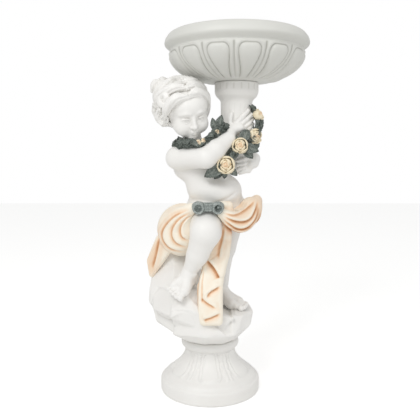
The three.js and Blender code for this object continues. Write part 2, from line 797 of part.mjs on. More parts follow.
function addHands(clay) {
  for (const hand of HANDS) {
    clay.add(limb(hand.wrist, 18, hand.palm[0], 16), 6);
    clay.add(limb(hand.palm[0], 17, hand.palm[1], 17), 4);
    for (const finger of hand.fingers) {
      const joints = finger.map(([turn, z], i) => onColumn(turn, z, 8 - 2 * i));
      const { radius } = hand;
      clay.add(limb(joints[0], radius + 1, joints[1], radius), 2);
      clay.add(limb(joints[1], radius, joints[2], radius - 1.5), 2);
    }
  }
}

function addLegs(clay) {
  clay.add(limb(HIP.right, 56, KNEE.right, 41), 10);
  clay.add(limb(KNEE.right, 38, [-34, -110, 256], 29), 8);
  clay.add(limb([-34, -110, 256], 29, ANKLE.right, 19), 6);
  clay.add(limb(HIP.left, 54, KNEE.left, 32), 10);
  clay.add(limb(KNEE.left, 31, [33, 16, 214], 28), 8);
  clay.add(limb([33, 16, 214], 28, ANKLE.left, 18), 6);
}

// A foot: heel, instep and a row of toes from the big one to the little one.
function addBareFoot(clay, ankle, heel, ball1, toes) {
  clay.add(limb(ankle, 18, heel, 18), 8);
  clay.add(limb(ankle, 17, ball1, 14), 8);
  clay.add(limb(heel, 15, ball1, 15), 8);
  const [big, little] = toes;
  for (let i = 0; i < 5; i += 1) {
    const tip = mix(big, little, i / 4);
    const root = mix(ball1, tip, 0.45);
    clay.add(limb(root, 10 - i * 0.6, tip, 9 - i * 0.7), 3);
  }
}

function addFeet(clay) {
  addBareFoot(clay, ANKLE.right, [-48, -80, 192], [-78, -118, 166], [[-76, -140, 142], [-112, -122, 158]]);
  addBareFoot(clay, ANKLE.left, [34, 28, 108], [76, -16, 103], [[90, -48, 97], [114, -24, 97]]);
}

// Drapery: a pleated sweep round the raised thigh, a swag on the other hip, a tail between the
// legs, a corner trailing on the rock, and a roll round the back.
const PLEATS = 5;
const SWAG_FOLDS = 4;
const CLASP = [-5, -116, 384];
const PLEAT_ROOT = plus(CLASP, [-30, 4, 0]);
const PLEAT_END = [-52, -92, 272];

function pleat(share) {
  const side = [-60 - 76 * share, -122 + 84 * share, 326 - 12 * share];
  const shoulder = mix(PLEAT_ROOT, side, 0.5);
  const high = plus(shoulder, [-8 - 8 * share, 4 * share, 14 + 6 * share]);
  const low = plus(mix(side, PLEAT_END, 0.5), [-8 - 12 * share, 0, -12 - 18 * share]);
  const end = plus(PLEAT_END, [-4 * share, 12 * share, 32 - 50 * share]);
  return [plus(PLEAT_ROOT, [0, 0, 4 * share]), high, side, low, end];
}

function swagFold(share) {
  return [
    [33 + 7 * share, -114 + 6 * share, 372 + 16 * share],
    [56 + 10 * share, -98 + 5 * share, 346 + 38 * share],
    [86 + 2 * share, -78 - 2 * share, 320 + 62 * share],
    [124 - 20 * share, -48 - 14 * share, 344 + 50 * share],
    [130 - 20 * share, -18 - 18 * share, 388 + 12 * share],
  ];
}

function addDrapery(clay) {
  clay.add(egg([-52, -38, 318], [38, 46, 38]), 6);
  for (let i = 0; i < PLEATS; i += 1) {
    clay.add(strand(pleat(i / (PLEATS - 1)), [6, 11, 13, 12, 8], 12), 1);
  }
  // The corner that trails down to the rock.
  clay.add(strand([[-124, -34, 310], [-154, -24, 262], [-172, -18, 196]], [16, 15, 8], 6), 8);
  clay.add(strand([[-108, -40, 290], [-138, -28, 240], [-156, -22, 178]], [16, 14, 8], 6), 8);
  // The swag on the standing hip.
  clay.add(egg([82, -14, 352], [36, 44, 30]), 8);
  for (let i = 0; i < SWAG_FOLDS; i += 1) {
    clay.add(strand(swagFold(i / (SWAG_FOLDS - 1)), [6, 9, 12, 12, 10], 10), 1);
  }
  // The roll round the back.
  const roll = [[-108, -10, 308], [-80, 54, 326], [16, 92, 350], [104, 60, 362], [128, -6, 384]];
  clay.add(strand(roll, [20, 24, 24, 24, 18], 14), 8);
  clay.add(strand([[-84, 36, 298], [-20, 76, 296], [60, 72, 304], [104, 34, 330]], [16, 18, 18, 14], 10), 6);
}

function addTail(clay) {
  const folds = [
    [[30, -84, 350], [34, -64, 296], [22, -72, 236], [10, -98, 170], [4, -124, 84], [4, -130, 60]],
    [[22, -84, 350], [18, -70, 296], [2, -84, 236], [-14, -108, 170], [-20, -132, 84], [-18, -134, 62]],
    [[40, -80, 350], [46, -52, 296], [36, -58, 236], [24, -82, 170], [26, -116, 84], [24, -120, 66]],
    [[14, -84, 330], [4, -76, 280], [-12, -92, 226], [-28, -112, 168], [-32, -134, 90], [-30, -136, 72]],
  ];
  for (const fold of folds) clay.add(strand(fold, [9, 10, 12, 13, 12, 10], 16), 4);
}

function figureGeometry() {
  const clay = new Clay([-200, -180, 20], [180, 140, 760], CLAY_CELL);
  for (const add of [addTorso, addArms, addHands, addLegs, addFeet]) add(clay);
  for (const add of [addDrapery, addTail, addHead, addHair, addWreath]) add(clay);
  return geometryOf(thinned(skin(clay), CLAY_TRIANGLES)).scale(SCALE, SCALE, SCALE);
}

// The clasp: a scroll rolled in from both ends.
function claspGeometry() {
  const radius = CLASP_DIAMETER / 2;
  const half = CLASP_LENGTH / 2;
  const profile = [[0, -half + 5], [radius * 0.5, -half], [radius * 0.9, -half]];
  profile.push([radius, -half + 16], [radius * 0.84, -half + 22]);
  const mirrored = profile.map(([r, z]) => [r, -z]).reverse();
  return turned([...profile, ...mirrored], 10)
    .rotateY(Math.PI / 2)
    .translate(...times(CLASP, SCALE));
}

// A leaf: a keeled blade that points along one direction and faces another.
function leafGeometry(root, along, facing, length) {
  const outline = [[0, 0], [0.28, 0.24], [0.62, 0.27], [1, 0]];
  const thick = 0.13 * length;
  const middle = [[0.3, 0.06], [0.65, 0.05]];
  const rows = [
    ...outline.map(([x, y]) => [x, y, 0]),
    ...outline.slice(1, 3).map(([x, y]) => [x, -y, 0]),
    ...middle.map(([x, z]) => [x, 0, -z]),
    ...middle.map(([x, z]) => [x, 0, -z - thick / length]),
  ];
  const blade = rows.map(([x, y, z]) => new THREE.Vector3(x * length, y * length, z * length));
  const x = unit(along);
  const y = unit(cross(facing, x));
  const basis = new THREE.Matrix4().makeBasis(
    new THREE.Vector3(...x),
    new THREE.Vector3(...y),
    new THREE.Vector3(...cross(x, y)),
  );
  return new ConvexGeometry(blade).applyMatrix4(basis).translate(...times(root, SCALE));
}

// An open rose: a lobed cup of petals round a bud.
function roseGeometry(centre, facing, share) {
  const r = (ROSE_DIAMETER / 2) * share;
  const profile = [
    [0, -0.5 * r],
    [0.55 * r, -0.35 * r],
    [0.92 * r, 0.1 * r],
    [1.0 * r, 0.34 * r],
    [0.82 * r, 0.3 * r],
    [0.52 * r, 0.12 * r],
    [0.44 * r, 0.5 * r],
    [0, 0.4 * r],
  ];
  const petals = (turn, z, radius) =>
    radius > 0.5 * r ? 0.09 * r * Math.cos(5 * turn) : 0.04 * r * Math.cos(3 * turn + 1);
  const turnTo = new THREE.Quaternion().setFromUnitVectors(
    new THREE.Vector3(0, 0, 1),
    new THREE.Vector3(...unit(facing)),
  );
  return turned(profile, share > 0.5 ? 10 : 6, petals)
    .applyQuaternion(turnTo)
    .translate(...times(centre, SCALE));
}

// Roses as centre, facing, share of the full size, and the leaves round each one: clock angle from
// the viewer's right, tilt back, and share of the full length. The small shares are buds.
const ROSES = [
  [[42, -96, 494], [-0.1, -0.95, 0.1], 1, [[172, 0.1, 1.1], [212, 0.2, 1.15], [255, 0.2, 0.8], [322, 0.2, 1], [78, 0.3, 0.9], [118, 0.3, 0.8]]],
  [[80, -74, 545], [-0.05, -0.95, 0.15], 0.9, [[52, 0.3, 1.1], [338, 0.1, 1], [300, 0.3, 0.8], [128, 0.2, 0.8]]],
  [[122, -40, 573], [0.7, -0.7, 0.1], 0.88, [[35, 0.3, 0.9], [62, 0.5, 0.8], [285, 0.3, 0.9], [240, 0.3, 0.9]]],
  [[128, -14, 632], [0.75, -0.35, 0.5], 0.72, [[100, 0.2, 0.9], [60, 0.2, 0.9], [300, 0.4, 0.9]]],
  [[-30, -96, 553], [-0.1, -0.9, 0.3], 0.42, []],
  [[-18, -94, 558], [0.2, -0.9, 0.3], 0.36, []],
  [[20, -78, 580], [0, -0.8, 0.5], 0.42, []],
];

// Leaves on the stem as root, direction, facing and share of the full length.
const STEM_LEAVES = [
  [[26, -66, 588], [0.1, 0, 1], [-0.3, -0.9, 0], 1],
  [[20, -70, 586], [-0.4, -0.1, 0.85], [-0.3, -0.9, 0.1], 0.9],
  [[-36, -86, 550], [-0.9, 0.1, 0.1], [0, -0.8, 0.6], 0.9],
  [[-54, -80, 552], [-0.9, 0.3, 0], [-0.1, -0.8, 0.6], 0.9],
  [[-22, -86, 554], [0.3, -0.1, -0.8], [0, -0.9, 0.4], 0.6],
  [[-6, -82, 562], [0.8, 0.1, 0.5], [0, -0.9, 0.4], 0.9],
  [[4, -78, 570], [0.7, 0.1, 0.7], [0.1, -0.9, 0.4], 0.9],
  [[-72, -68, 554], [-0.5, 0.8, 0.1], [-0.6, -0.4, 0.6], 0.9],
  [[-86, -36, 556], [0.1, 0.9, 0.2], [-0.9, -0.1, 0.4], 0.9],
];

// The leaves round a rose start inside its cup and point out by the clock angle.
function leavesOf([centre, facing, , leaves]) {
  const front = unit(facing);
  const right = unit(cross([0, 0, 1], times(front, -1)));
  const up = cross(right, front);
  return leaves.map(([clock, back, share]) => {
    const turn = radians(clock);
    const out = plus(times(right, Math.cos(turn)), times(up, Math.sin(turn)));
    const root = plus(centre, plus(times(out, 9), times(front, -3)));
    return [root, plus(out, times(front, -back)), front, share];
  });
}

function addWreath(clay) {
  // The stem that the leaves grow from: round the neck, over the column and down its front.
  clay.add(strand([[-60, 24, 566], [-90, -34, 554], [-62, -80, 551], [-18, -88, 556], [14, -76, 576], [36, -52, 600]], [8, 10, 11, 11, 10, 8], 16), 4);
  clay.add(strand([[36, -52, 600], onColumn(-80, 628, 4), onColumn(-36, 634, 6), [126, -16, 612], [116, -40, 566], [84, -62, 540], [44, -84, 490]], [8, 7, 8, 9, 10, 10, 9], 20), 4);
  clay.add(strand([onColumn(-36, 634, 6), onColumn(20, 640, 6), onColumn(80, 620, 6), onColumn(140, 600, 5)], [8, 9, 9, 8], 12), 4);
}

function castingGeometry() {
  const parts = rockGeometries().map((geometry) => geometry.scale(SCALE, SCALE, SCALE));
  parts.push(columnGeometry(), figureGeometry(), claspGeometry());
  for (const [centre, facing, share] of ROSES) parts.push(roseGeometry(centre, facing, share));
  for (const [root, along, facing, share] of [...ROSES.flatMap(leavesOf), ...STEM_LEAVES]) {
    parts.push(leafGeometry(root, along, facing, LEAF_LENGTH * share));
  }
  return geometryOf(thinned(outerSkin(geometryOfSolid(joined(parts))), CASTING_TRIANGLES));
}

function piece(name, geometry, z, x = 0, y = 0) {
  const material = new THREE.MeshStandardMaterial({ color: SHELL_WHITE, roughness: 0.62, metalness: 0 });
  const mesh = new THREE.Mesh(geometry, material);
  mesh.name = name;
  mesh.position.set(x, y, z);
  return mesh;
}

const statue = new THREE.Group();
const castBase = FOOT_HEIGHT + STACK_GAP;
const bowlBase = castBase + CAST_HEIGHT + STACK_GAP;
statue.add(piece("foot", footGeometry(), 0));
statue.add(piece("cherub", castingGeometry(), castBase));
statue.add(piece("bowl", bowlGeometry(), bowlBase, COLUMN_X, COLUMN_Y));

export default statue;
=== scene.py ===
import math

import bmesh
import bpy
import numpy as np
from mathutils import Matrix, Vector


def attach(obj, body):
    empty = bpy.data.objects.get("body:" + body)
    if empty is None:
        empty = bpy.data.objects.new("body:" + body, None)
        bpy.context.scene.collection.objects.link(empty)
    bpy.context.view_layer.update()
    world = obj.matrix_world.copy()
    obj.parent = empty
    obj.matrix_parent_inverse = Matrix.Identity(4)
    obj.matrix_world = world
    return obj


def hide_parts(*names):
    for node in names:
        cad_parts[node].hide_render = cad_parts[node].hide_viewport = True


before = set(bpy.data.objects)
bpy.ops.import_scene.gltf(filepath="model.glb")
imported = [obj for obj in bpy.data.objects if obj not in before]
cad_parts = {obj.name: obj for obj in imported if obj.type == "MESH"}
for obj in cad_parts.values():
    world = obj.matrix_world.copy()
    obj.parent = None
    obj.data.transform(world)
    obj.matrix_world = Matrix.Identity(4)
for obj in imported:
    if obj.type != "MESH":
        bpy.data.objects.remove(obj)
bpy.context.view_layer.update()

# A painted garden statue: a cherub on a rock holds a short column that carries a planter bowl.
# The sculpture's points are in millimetres of its casting, whose underside rests on the foot.
FOOT_HEIGHT = 150.0
FOOT_RADIUS = 142.0
FOOT_BAND = 38.0  # upright edge of the foot's disc
NECK_RADIUS = 68.0
SEAT_RADIUS = 83.0  # round moulding under the rock
SEAT_MOULDING = 27.0
FLARE_BEND = 2.1  # how sharply the stem flares out to the disc
TONGUES = 6

STACK_GAP = 0.3
CAST_HEIGHT = 720.0
CAST_BASE = FOOT_HEIGHT + STACK_GAP
COLUMN = (74.0, 10.0)
COLUMN_RADIUS = 44.0
COLUMN_LENGTH = 240.0
CAPITAL_RADIUS = 61.0
CAPITAL_HEIGHT = 46.0
FLUTES = 18

BOWL_BASE = CAST_BASE + CAST_HEIGHT + STACK_GAP
BOWL_RADIUS = 200.0
BOWL_HEIGHT = 131.0
BOWL_SEAT_RADIUS = CAPITAL_RADIUS - 2.0
BOWL_FLOOR = 18.0
LIP_HEIGHT = 34.0
LIP_OVERHANG = 13.0
BOWL_BODY_TOP = BOWL_HEIGHT - LIP_HEIGHT - 14.0
GADROONS = 14
GADROON_TURN = 8  # degrees from the front to the middle of a gadroon

rng = np.random.default_rng(7)


# Small helpers for points, and the eased step that most shapes use.


def vec(*values):
    return np.array(values if len(values) > 1 else values[0], float)


def unit(v):
    v = vec(v)
    return v / np.linalg.norm(v)


def mix(a, b, t):
    return vec(a) + (vec(b) - vec(a)) * t


def ease(t):
    t = np.clip(t, 0.0, 1.0)
    return t * t * (3.0 - 2.0 * t)


def on_column(degrees, z, lift=0.0):
    """A point of the column's surface at an angle; -90 degrees faces the viewer."""
    turn = math.radians(degrees)
    reach = COLUMN_RADIUS + lift
    return vec(COLUMN[0] + reach * math.cos(turn), COLUMN[1] + reach * math.sin(turn), z)


# Forms for the clay: each has a box and a distance that is negative inside.


class Form:
    def __init__(self, low, high, distance):
        self.low, self.high, self.distance = vec(low), vec(high), distance


def limb(a, radius_a, b, radius_b):
    """A rounded limb that tapers from a to b."""
    a, b = vec(a), vec(b)
    along = b - a
    span = float(along @ along) or 1.0
    most = max(radius_a, radius_b)

    def distance(x, y, z):
        dx, dy, dz = x - a[0], y - a[1], z - a[2]
        t = np.clip((dx * along[0] + dy * along[1] + dz * along[2]) / span, 0.0, 1.0)
        off = (dx - t * along[0]) ** 2 + (dy - t * along[1]) ** 2 + (dz - t * along[2]) ** 2
        return np.sqrt(off) - radius_a - t * (radius_b - radius_a)

    return Form(np.minimum(a, b) - most, np.maximum(a, b) + most, distance)


def ball(centre, radius):
    return limb(centre, radius, centre, radius)


def turned_axes(degrees):
    c, s = math.cos(math.radians(degrees)), math.sin(math.radians(degrees))
    return np.array([[c, s, 0.0], [-s, c, 0.0], [0.0, 0.0, 1.0]])


def egg(centre, radii, axes=None):
    """An ellipsoid along three unit axes."""
    centre, radii = vec(centre), vec(radii)
    axes = np.eye(3) if axes is None else np.array(axes)
    reach = np.sqrt(((radii[:, None] * axes) ** 2).sum(axis=0))

    def distance(x, y, z):
        d = (x - centre[0], y - centre[1], z - centre[2])
        near = steep = 0.0
        for axis, radius in zip(axes, radii):
            p = (axis[0] * d[0] + axis[1] * d[1] + axis[2] * d[2]) / radius
            near = near + p * p
            steep = steep + (p / radius) ** 2
        near = np.sqrt(near)
        return near * (near - 1.0) / np.sqrt(np.maximum(steep, 1e-9))

    return Form(centre - reach, centre + reach, distance)


def panel(a, b, c, radius):
    """A flat three-cornered piece of cloth, rounded all round."""
    a, b, c = vec(a), vec(b), vec(c)
    normal = np.cross(b - a, a - c)

    def distance(x, y, z):
        def inside(edge, start):
            out = np.cross(edge, normal)
            dot = (x - start[0]) * out[0] + (y - start[1]) * out[1] + (z - start[2]) * out[2]
            return np.sign(dot)

        def edge_distance(edge, start):
            dx, dy, dz = x - start[0], y - start[1], z - start[2]
            t = np.clip((dx * edge[0] + dy * edge[1] + dz * edge[2]) / (edge @ edge), 0.0, 1.0)
            return (dx - t * edge[0]) ** 2 + (dy - t * edge[1]) ** 2 + (dz - t * edge[2]) ** 2

        edges = [(b - a, a), (c - b, b), (a - c, c)]
        over = sum(inside(edge, start) for edge, start in edges)
        flat = (x - a[0]) * normal[0] + (y - a[1]) * normal[1] + (z - a[2]) * normal[2]
        flat = flat**2 / (normal @ normal)
        rim = np.minimum.reduce([edge_distance(edge, start) for edge, start in edges])
        return np.sqrt(np.where(over < 2.0, rim, flat)) - radius

    corners = np.array([a, b, c])
    return Form(corners.min(axis=0) - radius, corners.max(axis=0) + radius, distance)


def block(points, round_off=0.0):
    """A stone block with flat broken faces: the hull of its corners."""
    work = bmesh.new()
    for point in points:
        work.verts.new(point)
    bmesh.ops.convex_hull(work, input=work.verts)
    work.normal_update()
    middle = vec(points).mean(axis=0)
    planes = []
    for face in work.faces:
        normal, corner = vec(face.normal), vec(face.verts[0].co)
        if normal @ (corner - middle) < 0:
            normal = -normal
        if not any(n @ normal > 0.9995 for n, _ in planes):
            planes.append((normal, normal @ corner))
    work.free()

    def distance(x, y, z):
        far = None
        for normal, offset in planes:
            d = x * normal[0] + y * normal[1] + z * normal[2] - offset
            if far is None:
                far = d
            elif round_off:
                near = np.maximum(round_off - np.abs(far - d), 0.0)
                far = np.maximum(far, d) + near * near / (4.0 * round_off)
            else:
                far = np.maximum(far, d)
        return far

    corners = vec(points)
    return Form(corners.min(axis=0), corners.max(axis=0), distance)


def along_curve(points, count):
    """Points spaced along a smooth curve through the given ones."""
    knots = np.array([vec(p) for p in points])
    padded = np.vstack([2 * knots[0] - knots[1], knots, 2 * knots[-1] - knots[-2]])
    made = []
    for t in np.linspace(0.0, len(knots) - 1.0, count):
        i = min(int(t), len(knots) - 2)
        u = t - i
        p0, p1, p2, p3 = padded[i : i + 4]
        made.append(
            0.5 * (2 * p1 + (p2 - p0) * u + (2 * p0 - 5 * p1 + 4 * p2 - p3) * u**2
                   + (3 * p1 - p0 - 3 * p2 + p3) * u**3)
        )
    return np.array(made)


def swelling_path(points, radii, pieces):
    """A smooth curve's points and the radius at each, which eases from knot to knot."""
    place = np.linspace(0.0, len(radii) - 1.0, pieces + 1)
    knot = np.minimum(place.astype(int), len(radii) - 2)
    radii = vec(radii)
    radius = radii[knot] + (radii[knot + 1] - radii[knot]) * ease(place - knot)
    return along_curve(points, pieces + 1), radius


def strand(points, radii, pieces=14):
    """Limbs joined along a smooth curve."""
    curve, radius = swelling_path(points, radii, pieces)
    return [limb(curve[i], radius[i], curve[i + 1], radius[i + 1]) for i in range(pieces)]


def rope(points, radii, ridges=7, depth=1.2, twist=1.5, pieces=18):
    """A lock or fold along a smooth curve, with fine ridges that run along it and twist."""
    curve, radius = swelling_path(points, radii, pieces)
    side = np.cross(curve[1] - curve[0], [0.0, 0.3, 1.0])
    made = []
    for i in range(pieces):
        ahead = unit(curve[i + 1] - curve[i])
        side = unit(side - ahead * (side @ ahead))
        up = np.cross(ahead, side)
        core = limb(curve[i], radius[i], curve[i + 1], radius[i + 1])
        made.append(ridged(core, curve[i], side, up, ridges, depth, twist * i / pieces))
    return made


def ridged(core, start, side, up, ridges, depth, phase):
    """A limb with ridges round it."""

    def distance(x, y, z):
        dx, dy, dz = x - start[0], y - start[1], z - start[2]
        across = dx * side[0] + dy * side[1] + dz * side[2]
        rise = dx * up[0] + dy * up[1] + dz * up[2]
        turn = np.arctan2(rise, across)
        return core.distance(x, y, z) + depth * (0.5 - 0.5 * np.cos(ridges * turn + ridges * phase))

    return Form(core.low, core.high, distance)


def cup(centre, radius, wall, towards, opening):
    """A petal: the piece of a hollow ball within an opening angle of a direction."""
    centre, towards = vec(centre), unit(towards)
    limit = math.cos(math.radians(opening))

    def distance(x, y, z):
        dx, dy, dz = x - centre[0], y - centre[1], z - centre[2]
        size = np.sqrt(dx * dx + dy * dy + dz * dz) + 1e-6
        shell = np.abs(size - radius) - wall / 2 + 0.5
        cut = (limit - (dx * towards[0] + dy * towards[1] + dz * towards[2]) / size) * radius
        outside = np.sqrt(np.maximum(shell, 0.0) ** 2 + np.maximum(cut, 0.0) ** 2)
        return outside + np.minimum(np.maximum(shell, cut), 0.0) - 0.5

    return Form(centre - radius - wall, centre + radius + wall, distance)


def drum(centre, axis, radius, half):
    """A short round block with softened edges."""
    centre, axis = vec(centre), unit(axis)
    side = unit(np.cross(axis, [0.0, 0.0, 1.0]))
    up = np.cross(side, axis)

    def distance(x, y, z):
        dx, dy, dz = x - centre[0], y - centre[1], z - centre[2]
        along = dx * axis[0] + dy * axis[1] + dz * axis[2]
        across = dx * side[0] + dy * side[1] + dz * side[2]
        rise = dx * up[0] + dy * up[1] + dz * up[2]
        reach = np.sqrt(across**2 + rise**2)
        wall, end = reach - radius + 2.0, np.abs(along) - half + 2.0
        outside = np.sqrt(np.maximum(wall, 0.0) ** 2 + np.maximum(end, 0.0) ** 2)
        return outside + np.minimum(np.maximum(wall, end), 0.0) - 2.0

    most = radius + half
    return Form(centre - most, centre + most, distance)


FAR = 1000.0


def melted(a, b, melt):
    """The smaller of two distances, rounded where they meet."""
    if melt <= 0:
        return np.minimum(a, b)
    near = np.maximum(melt - np.abs(a - b), 0.0)
    return np.minimum(a, b) - near * near / (4.0 * melt)


class Clay:
    """A grid of distances in which forms are melted together or carved out."""

    def __init__(self, low, high, cell):
        self.low, self.cell = vec(low), float(cell)
        count = np.ceil((vec(high) - self.low) / cell).astype(int) + 1
        self.value = np.full(count, FAR, np.float32)

    def window(self, low, high, reach):
        start = np.maximum(np.floor((low - reach - self.low) / self.cell), 0).astype(int)
        stop = np.ceil((high + reach - self.low) / self.cell).astype(int) + 1
        stop = np.minimum(stop, self.value.shape)
        if (stop <= start).any():
            return None, None
        spot = tuple(slice(a, b) for a, b in zip(start, stop))
        lines = [self.low[i] + self.cell * np.arange(start[i], stop[i]) for i in range(3)]
        return spot, (lines[0][:, None, None], lines[1][None, :, None], lines[2][None, None, :])

    def distance(self, forms, reach):
        """The distance to several forms as one, in the window that holds them."""
        low = np.min([form.low for form in forms], axis=0)
        high = np.max([form.high for form in forms], axis=0)
        spot, _ = self.window(low, high, reach)
        if spot is None:
            return None, None
        whole = np.full([s.stop - s.start for s in spot], FAR, np.float32)
        for form in forms:
            own, grid = self.window(form.low, form.high, reach)
            if own is None:
                continue
            part = tuple(slice(o.start - s.start, o.stop - s.start) for o, s in zip(own, spot))
            whole[part] = np.minimum(whole[part], form.distance(*grid))
        return spot, whole

    def add(self, forms, melt=0.0):
        forms = forms if isinstance(forms, list) else [forms]
        spot, whole = self.distance(forms, melt + 4 * self.cell + 6)
        if spot is not None:
            self.value[spot] = melted(self.value[spot], whole, melt)

    def carve(self, forms, melt=0.0):
        forms = forms if isinstance(forms, list) else [forms]
        spot, whole = self.distance(forms, melt + 4 * self.cell + 6)
        if spot is not None:
            self.value[spot] = -melted(-self.value[spot], whole, melt)


def fold_relief(x, z, path, high, wide, dip):
    """Relief along a fold drawn in x and z: cloth swells up to it on its left and drops on its right."""
    curve = along_curve([vec(px, 0, pz) for px, pz in path], 5 * len(path))[:, [0, 2]]
    off, side, place = np.full(np.broadcast(x, z).shape, FAR), 0.0, 0.0
    for i, (start, end) in enumerate(zip(curve, curve[1:])):
        ahead = end - start
        t = np.clip(((x - start[0]) * ahead[0] + (z - start[1]) * ahead[1]) / (ahead @ ahead), 0.0, 1.0)
        dx, dz = x - start[0] - t * ahead[0], z - start[1] - t * ahead[1]
        near = np.hypot(dx, dz)
        nearer = near < off
        side = np.where(nearer, np.sign(ahead[0] * dz - ahead[1] * dx), side)
        place = np.where(nearer, (i + t) / (len(curve) - 1), place)
        off = np.minimum(off, near)
    over = ease(side * off / 5.0 + 0.5)
    swell = high * np.exp(-off / wide)
    drop = dip * np.exp(-((off / (0.5 * wide)) ** 2))
    return (over * swell - (1 - over) * drop) * ease(np.minimum(place, 1 - place) / 0.22)


def press_folds(clay, folds):
    """Presses drawn folds into the clay from the front."""
    x = clay.low[0] + clay.cell * np.arange(clay.value.shape[0])[:, None]
    z = clay.low[2] + clay.cell * np.arange(clay.value.shape[2])[None, :]
    for path, high, wide, dip in folds:
        clay.value -= fold_relief(x, z, path, high, wide, dip)[:, None, :].astype(np.float32)


def surface(clay, x, z, back=False):
    """The clay's front or back surface at a place, or the nearest place that has clay."""
    i, k = (int(round((v - clay.low[n]) / clay.cell)) for v, n in ((x, 0), (z, 2)))
    columns = np.argwhere((clay.value[max(i - 20, 0) : i + 21, :, max(k - 20, 0) : k + 21] < 0).any(axis=1))
    off = columns + [max(i - 20, 0), max(k - 20, 0)]
    i, k = off[np.argmin(((off - [i, k]) ** 2).sum(axis=1))]
    solid = np.flatnonzero(clay.value[i, :, k] < 0)
    y = clay.low[1] + clay.cell * (solid[-1] + 0.5 if back else solid[0] - 0.5)
    return vec(clay.low[0] + clay.cell * i, y, clay.low[2] + clay.cell * k)


def box_blur(field, cells, axis):
    padded = np.moveaxis(field, axis, 0)
    padded = np.pad(padded, [(cells + 1, cells)] + [(0, 0)] * 2, mode="edge")
    total = np.cumsum(padded, axis=0, dtype=np.float32)
    span = 2 * cells + 1
    return np.moveaxis((total[span:] - total[:-span]) / span, 0, axis)


def sampled(field, spots):
    """The field at points given in cells, read between its grid points."""
    base = np.clip(np.floor(spots).astype(int), 0, np.array(field.shape) - 2)
    part = spots - base
    total = 0.0
    for i in (0, 1):
        for j in (0, 1):
            for k in (0, 1):
                weight = (
                    np.where(i, part[:, 0], 1 - part[:, 0])
                    * np.where(j, part[:, 1], 1 - part[:, 1])
                    * np.where(k, part[:, 2], 1 - part[:, 2])
                )
                total = total + weight * field[base[:, 0] + i, base[:, 1] + j, base[:, 2] + k]
    return total


def skin(clay):
    """The clay's surface as points in millimetres and four-sided faces that look out."""
    value = clay.value
    inside = value < 0
    shape = np.array(value.shape)
    count = np.zeros(shape - 1, np.int8)
    corners = [(i, j, k) for i in (0, 1) for j in (0, 1) for k in (0, 1)]
    for i, j, k in corners:
        count += inside[i : shape[0] - 1 + i, j : shape[1] - 1 + j, k : shape[2] - 1 + k]
    cells = np.argwhere((count > 0) & (count < 8))
    number = np.full(shape - 1, -1, np.int32)
    number[tuple(cells.T)] = np.arange(len(cells))
    sums = np.zeros((len(cells), 3))
    hits = np.zeros(len(cells))
    for axis in range(3):
        step = np.eye(3, dtype=int)[axis]
        for corner in corners:
            if corner[axis]:
                continue
            start = cells + np.array(corner)
            a = value[tuple(start.T)]
            b = value[tuple((start + step).T)]
            hit = (a < 0) != (b < 0)
            t = np.where(hit, a / np.where(hit, a - b, 1.0), 0.0)
            place = np.array(corner) + step * t[:, None]
            sums += place * hit[:, None]
            hits += hit
    points = (cells + sums / np.maximum(hits, 1)[:, None]) * clay.cell + clay.low
    faces = []
    for axis in range(3):
        step = np.eye(3, dtype=int)[axis]
        u, v = np.eye(3, dtype=int)[(axis + 1) % 3], np.eye(3, dtype=int)[(axis + 2) % 3]
        lower = inside[tuple(slice(0, shape[i] - step[i]) for i in range(3))]
        upper = inside[tuple(slice(step[i], shape[i]) for i in range(3))]
        edges = np.argwhere(lower != upper)
        edges = edges[(edges[:, (axis + 1) % 3] > 0) & (edges[:, (axis + 2) % 3] > 0)]
        edges = edges[(edges + u < shape)[:, (axis + 1) % 3] & (edges + v < shape)[:, (axis + 2) % 3]]
        edges = edges[
            (edges[:, (axis + 1) % 3] < shape[(axis + 1) % 3] - 1)
            & (edges[:, (axis + 2) % 3] < shape[(axis + 2) % 3] - 1)
        ]
        ring = [number[tuple((edges + shift).T)] for shift in (-u - v, -v, 0 * u, -u)]
        quads = np.stack(ring, axis=1)
        outward = inside[tuple(edges.T)]
        faces.append(np.where(outward[:, None], quads, quads[:, ::-1]))
    return points, np.concatenate(faces)


# From clay to finished meshes.


def finished(name, points, faces, base=CAST_BASE, smooth=True, marks=None):
    """A mesh object in metres from points in millimetres over a base height."""
    mesh = bpy.data.meshes.new(name)
    points = np.array(points, float) + vec(0.0, 0.0, base)
    if isinstance(faces, np.ndarray):
        mesh.vertices.add(len(points))
        mesh.vertices.foreach_set("co", (points / 1000.0).ravel())
        mesh.loops.add(faces.size)
        mesh.loops.foreach_set("vertex_index", faces.astype(np.int32).ravel())
        mesh.polygons.add(len(faces))
        starts = np.arange(len(faces), dtype=np.int32) * faces.shape[1]
        mesh.polygons.foreach_set("loop_start", starts)
        mesh.update(calc_edges=True)
    else:
        mesh.from_pydata((points / 1000.0).tolist(), [], faces)
    mesh.validate()
    if smooth:
        mesh.polygons.foreach_set("use_smooth", np.ones(len(mesh.polygons), bool))
    for key, values in (marks or {}).items():
        mark = mesh.attributes.new(key, "FLOAT", "POINT")
        mark.data.foreach_set("value", np.array(values, np.float32))
    piece = bpy.data.objects.new(name, mesh)
    bpy.context.scene.collection.objects.link(piece)
    return piece


